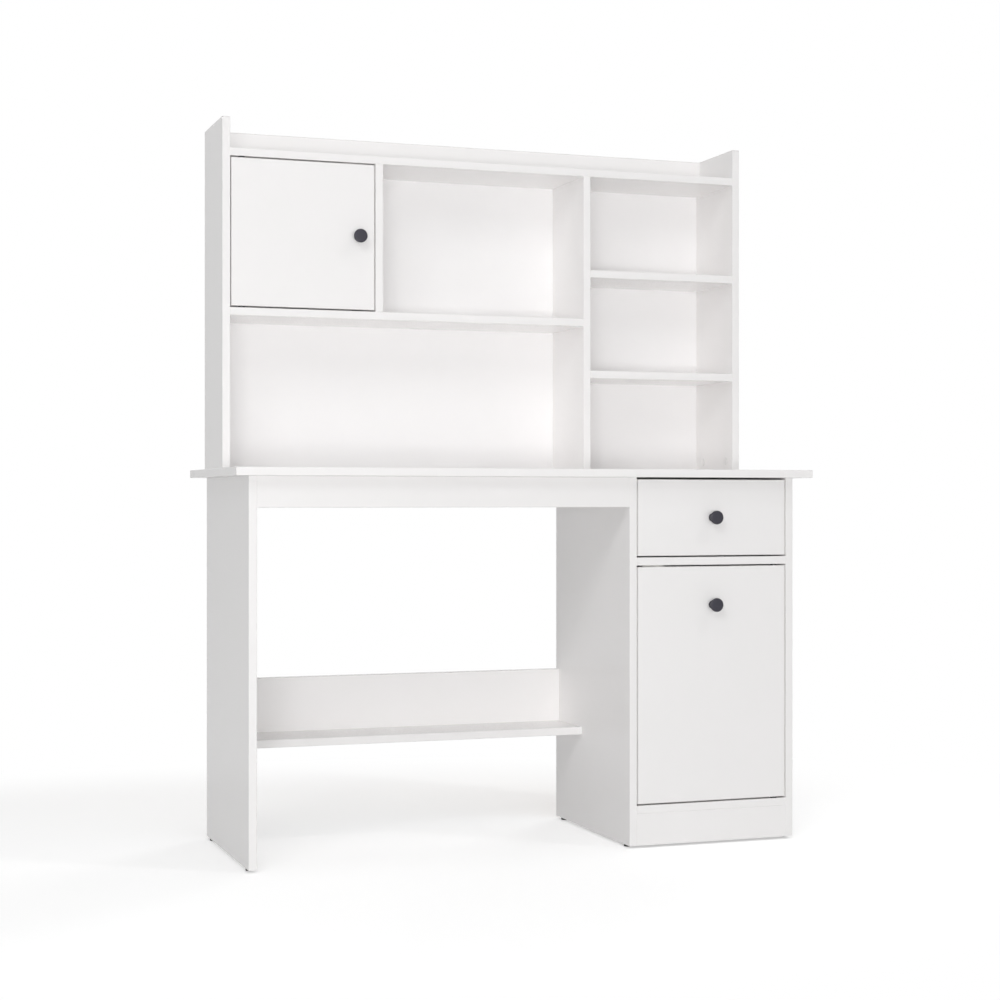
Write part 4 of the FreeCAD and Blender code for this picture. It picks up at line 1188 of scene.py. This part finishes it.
@dataclass(frozen=True)
class StudioFloor(Finish):
    """A pale painted floor: matt white, which runs into the white backdrop away from the desk."""

    paint: Tones = Tones("F4F4F4", "F1F1F1", 40.0)
    rough: float = 0.85
    middle: float = 0.55         # to the left of the desk's middle, where the paint is centred
    squash: float = 0.6          # width of the painted oval, its depth over its width
    near: float = 0.75           # from the centre, where it still is plain paint
    far: float = 1.35            # where it has become the backdrop's white
    lift: float = 0.36           # glow that the eye sees on the paint
    bounce: str = "D6D6D6"       # what it sends back to the desk

    def dressed(self, tree: Tree, where: Socket) -> Inputs:
        """Matt paint."""
        return {"Base Color": self.paint.drawn(tree, where), "Roughness": self.rough}

    def shown(self, tree: Tree, where: Socket, surface: Socket) -> Socket:
        """Paint that takes shadows, and glow for the eye that grows with the distance from the desk.

        The distance is the length of the place, moved to the oval's centre and squashed along X. Between near and
        far, a smooth step goes from the lifted paint to white.

        Args:
            tree: the material's node tree.
            where: the coordinates.
            surface: the paint.

        Returns:
            What is seen.
        """
        oval = add_node(tree, "ShaderNodeMapping", {"Vector": where, "Scale": (self.squash, 1, 1),
                                                    "Location": (self.middle * self.squash, 0, 0)})
        distance = add_node(tree, "ShaderNodeVectorMath", {0: oval.outputs["Vector"]}, operation="LENGTH")
        fade = add_node(tree, "ShaderNodeMapRange", {"Value": distance.outputs["Value"], "From Min": self.near,
                                                     "From Max": self.far}, interpolation_type="SMOOTHSTEP")
        white, lift = (add_node(tree, "ShaderNodeEmission", {"Color": WHITE, "Strength": strength})
                       for strength in (1.0, self.lift))
        lifted = add_node(tree, "ShaderNodeAddShader", {0: surface, 1: lift.outputs["Emission"]})
        eye = add_node(tree, "ShaderNodeMixShader", {0: fade.outputs["Result"], 1: lifted.outputs["Shader"],
                                                     2: white.outputs["Emission"]})
        bounce = add_node(tree, "ShaderNodeBsdfDiffuse", {"Color": linear(self.bounce)})
        both = add_node(tree, "ShaderNodeMixShader", {0: on_rays(tree, Ray.CAMERA, Ray.GLOSSY),
                                                      1: bounce.outputs["BSDF"], 2: eye.outputs["Shader"]})
        return both.outputs["Shader"]


@dataclass(frozen=True)
class Lamp:
    """A soft rectangular lamp."""

    name: str
    place: tuple[float, float, float]
    aim: tuple[float, float, float]
    size: tuple[float, float]
    power: float

    def build(self) -> None:
        """Hang the lamp, turned to its aim."""
        light = bpy.data.lights.new(self.name, "AREA")
        light.shape = "RECTANGLE"
        light.size, light.size_y = self.size
        light.energy = self.power
        item = bpy.data.objects.new(self.name, light)
        item.location = self.place
        item.rotation_euler = (Vector(self.aim) - Vector(self.place)).to_track_quat("-Z", "Y").to_euler()
        bpy.context.collection.objects.link(item)


@dataclass
class Studio:
    """The floor, the lamps, the backdrop and the camera."""

    floor_reach: float = 30.0
    floor_cells: int = 8
    backdrop: float = 0.34       # level of the room's even light
    bounces: int = 10            # white boards send light on more often than the usual 4 times
    eye: tuple[float, float, float] = (-1.3434, -3.7697, 0.6965)
    yaw: float = 19.61           # degrees to the right of straight back
    focal: float = 69.8          # millimetres
    sensor: float = 36.0         # its width, in millimetres
    rise: float = 0.001          # vertical shift, as a share of the width
    sight: float = 200.0         # how far the camera sees
    lamps: tuple[Lamp, ...] = (
        Lamp("key_lamp", (2.81, -2.65, 5.3), (0.0, 0.0, 0.7), (0.3, 0.3), 30.0),
        Lamp("fill_lamp", (-1.35, -4.9, 0.55), (0.0, 0.0, 0.7), (2.6, 0.9), 96.0),
        Lamp("side_lamp", (-4.6, -2.1, 1.2), (0.0, 0.0, 0.6), (2.2, 2.2), 9.0),
        Lamp("high_lamp", (-2.4, -3.4, 3.4), (0.0, 0.0, 0.9), (2.0, 1.6), 41.0),
        Lamp("top_lamp", (-0.2, -0.6, 6.0), (0.0, 0.0, 0.7), (1.6, 1.6), 24.0),
        Lamp("rear_lamp", (3.2, 3.4, 2.0), (0.0, 0.0, 0.7), (1.8, 1.8), 50.0),
    )

    def build(self) -> None:
        """Set up the whole studio."""
        self.floor()
        self.world()
        self.camera()
        for lamp in self.lamps:
            lamp.build()
            log.info("lamp   %s", lamp.name)

    def floor(self) -> None:
        """A flat grid: x and y in equal steps over the reach, z on the floor."""
        count = self.floor_cells + 1
        steps = np.linspace(-self.floor_reach, self.floor_reach, count) / MM
        x, y = np.meshgrid(steps, steps)
        start = (np.arange(self.floor_cells)[:, None] * count + np.arange(self.floor_cells)).ravel()
        quads = np.stack([start, start + 1, start + count + 1, start + count], axis=-1)
        item = Surface(np.stack([x, y, 0 * x], axis=-1).reshape(-1, 3), [quads]).piece("studio_floor")
        item.data.materials.append(StudioFloor("floor_painted_white").material())

    def world(self) -> None:
        """White where the eye, a gloss or a glass sees it, and an even plain light elsewhere."""
        world = bpy.data.worlds.new("studio")
        bpy.context.scene.world = world
        world.use_nodes = True
        tree = world.node_tree
        tree.nodes.clear()
        seen = on_rays(tree, Ray.CAMERA, Ray.GLOSSY, Ray.TRANSMISSION)
        level = add_node(tree, "ShaderNodeMapRange", {"Value": seen, "To Min": self.backdrop, "To Max": 1.0})
        light = add_node(tree, "ShaderNodeBackground", {"Color": WHITE, "Strength": level.outputs["Result"]})
        add_node(tree, "ShaderNodeOutputWorld", {"Surface": light.outputs["Background"]})

    def camera(self) -> None:
        """A level camera at seated eye height, turned to the right."""
        view = bpy.data.cameras.new("camera")
        view.sensor_width = self.sensor
        view.lens = self.focal
        view.shift_y = self.rise
        view.clip_end = self.sight
        item = bpy.data.objects.new("camera", view)
        item.location = self.eye
        item.rotation_euler = (math.radians(90), 0.0, math.radians(-self.yaw))
        bpy.context.collection.objects.link(item)
        scene = bpy.context.scene
        scene.camera = item
        scene.cycles.diffuse_bounces = self.bounces
        scene.view_settings.view_transform = "Standard"


def main() -> None:
    """Build each sub-assembly in order, then the studio."""
    parts = [Boards(), CamLocks(), BackNails(), Glides(), Front("drawer", "drawer_knob", 28.0),
             Front("hutch_door", "hutch_door_knob", 16.0), Front("lower_door", "lower_door_knob", 16.0),
             DoorFittings("hutch_door"), DoorFittings("lower_door"), DrawerSlides(), DrawerScrews()]
    for part in parts:
        log.info("-- %s", type(part).__name__)
        part.build()
    Studio().build()


if __name__ == "__main__":
    main()
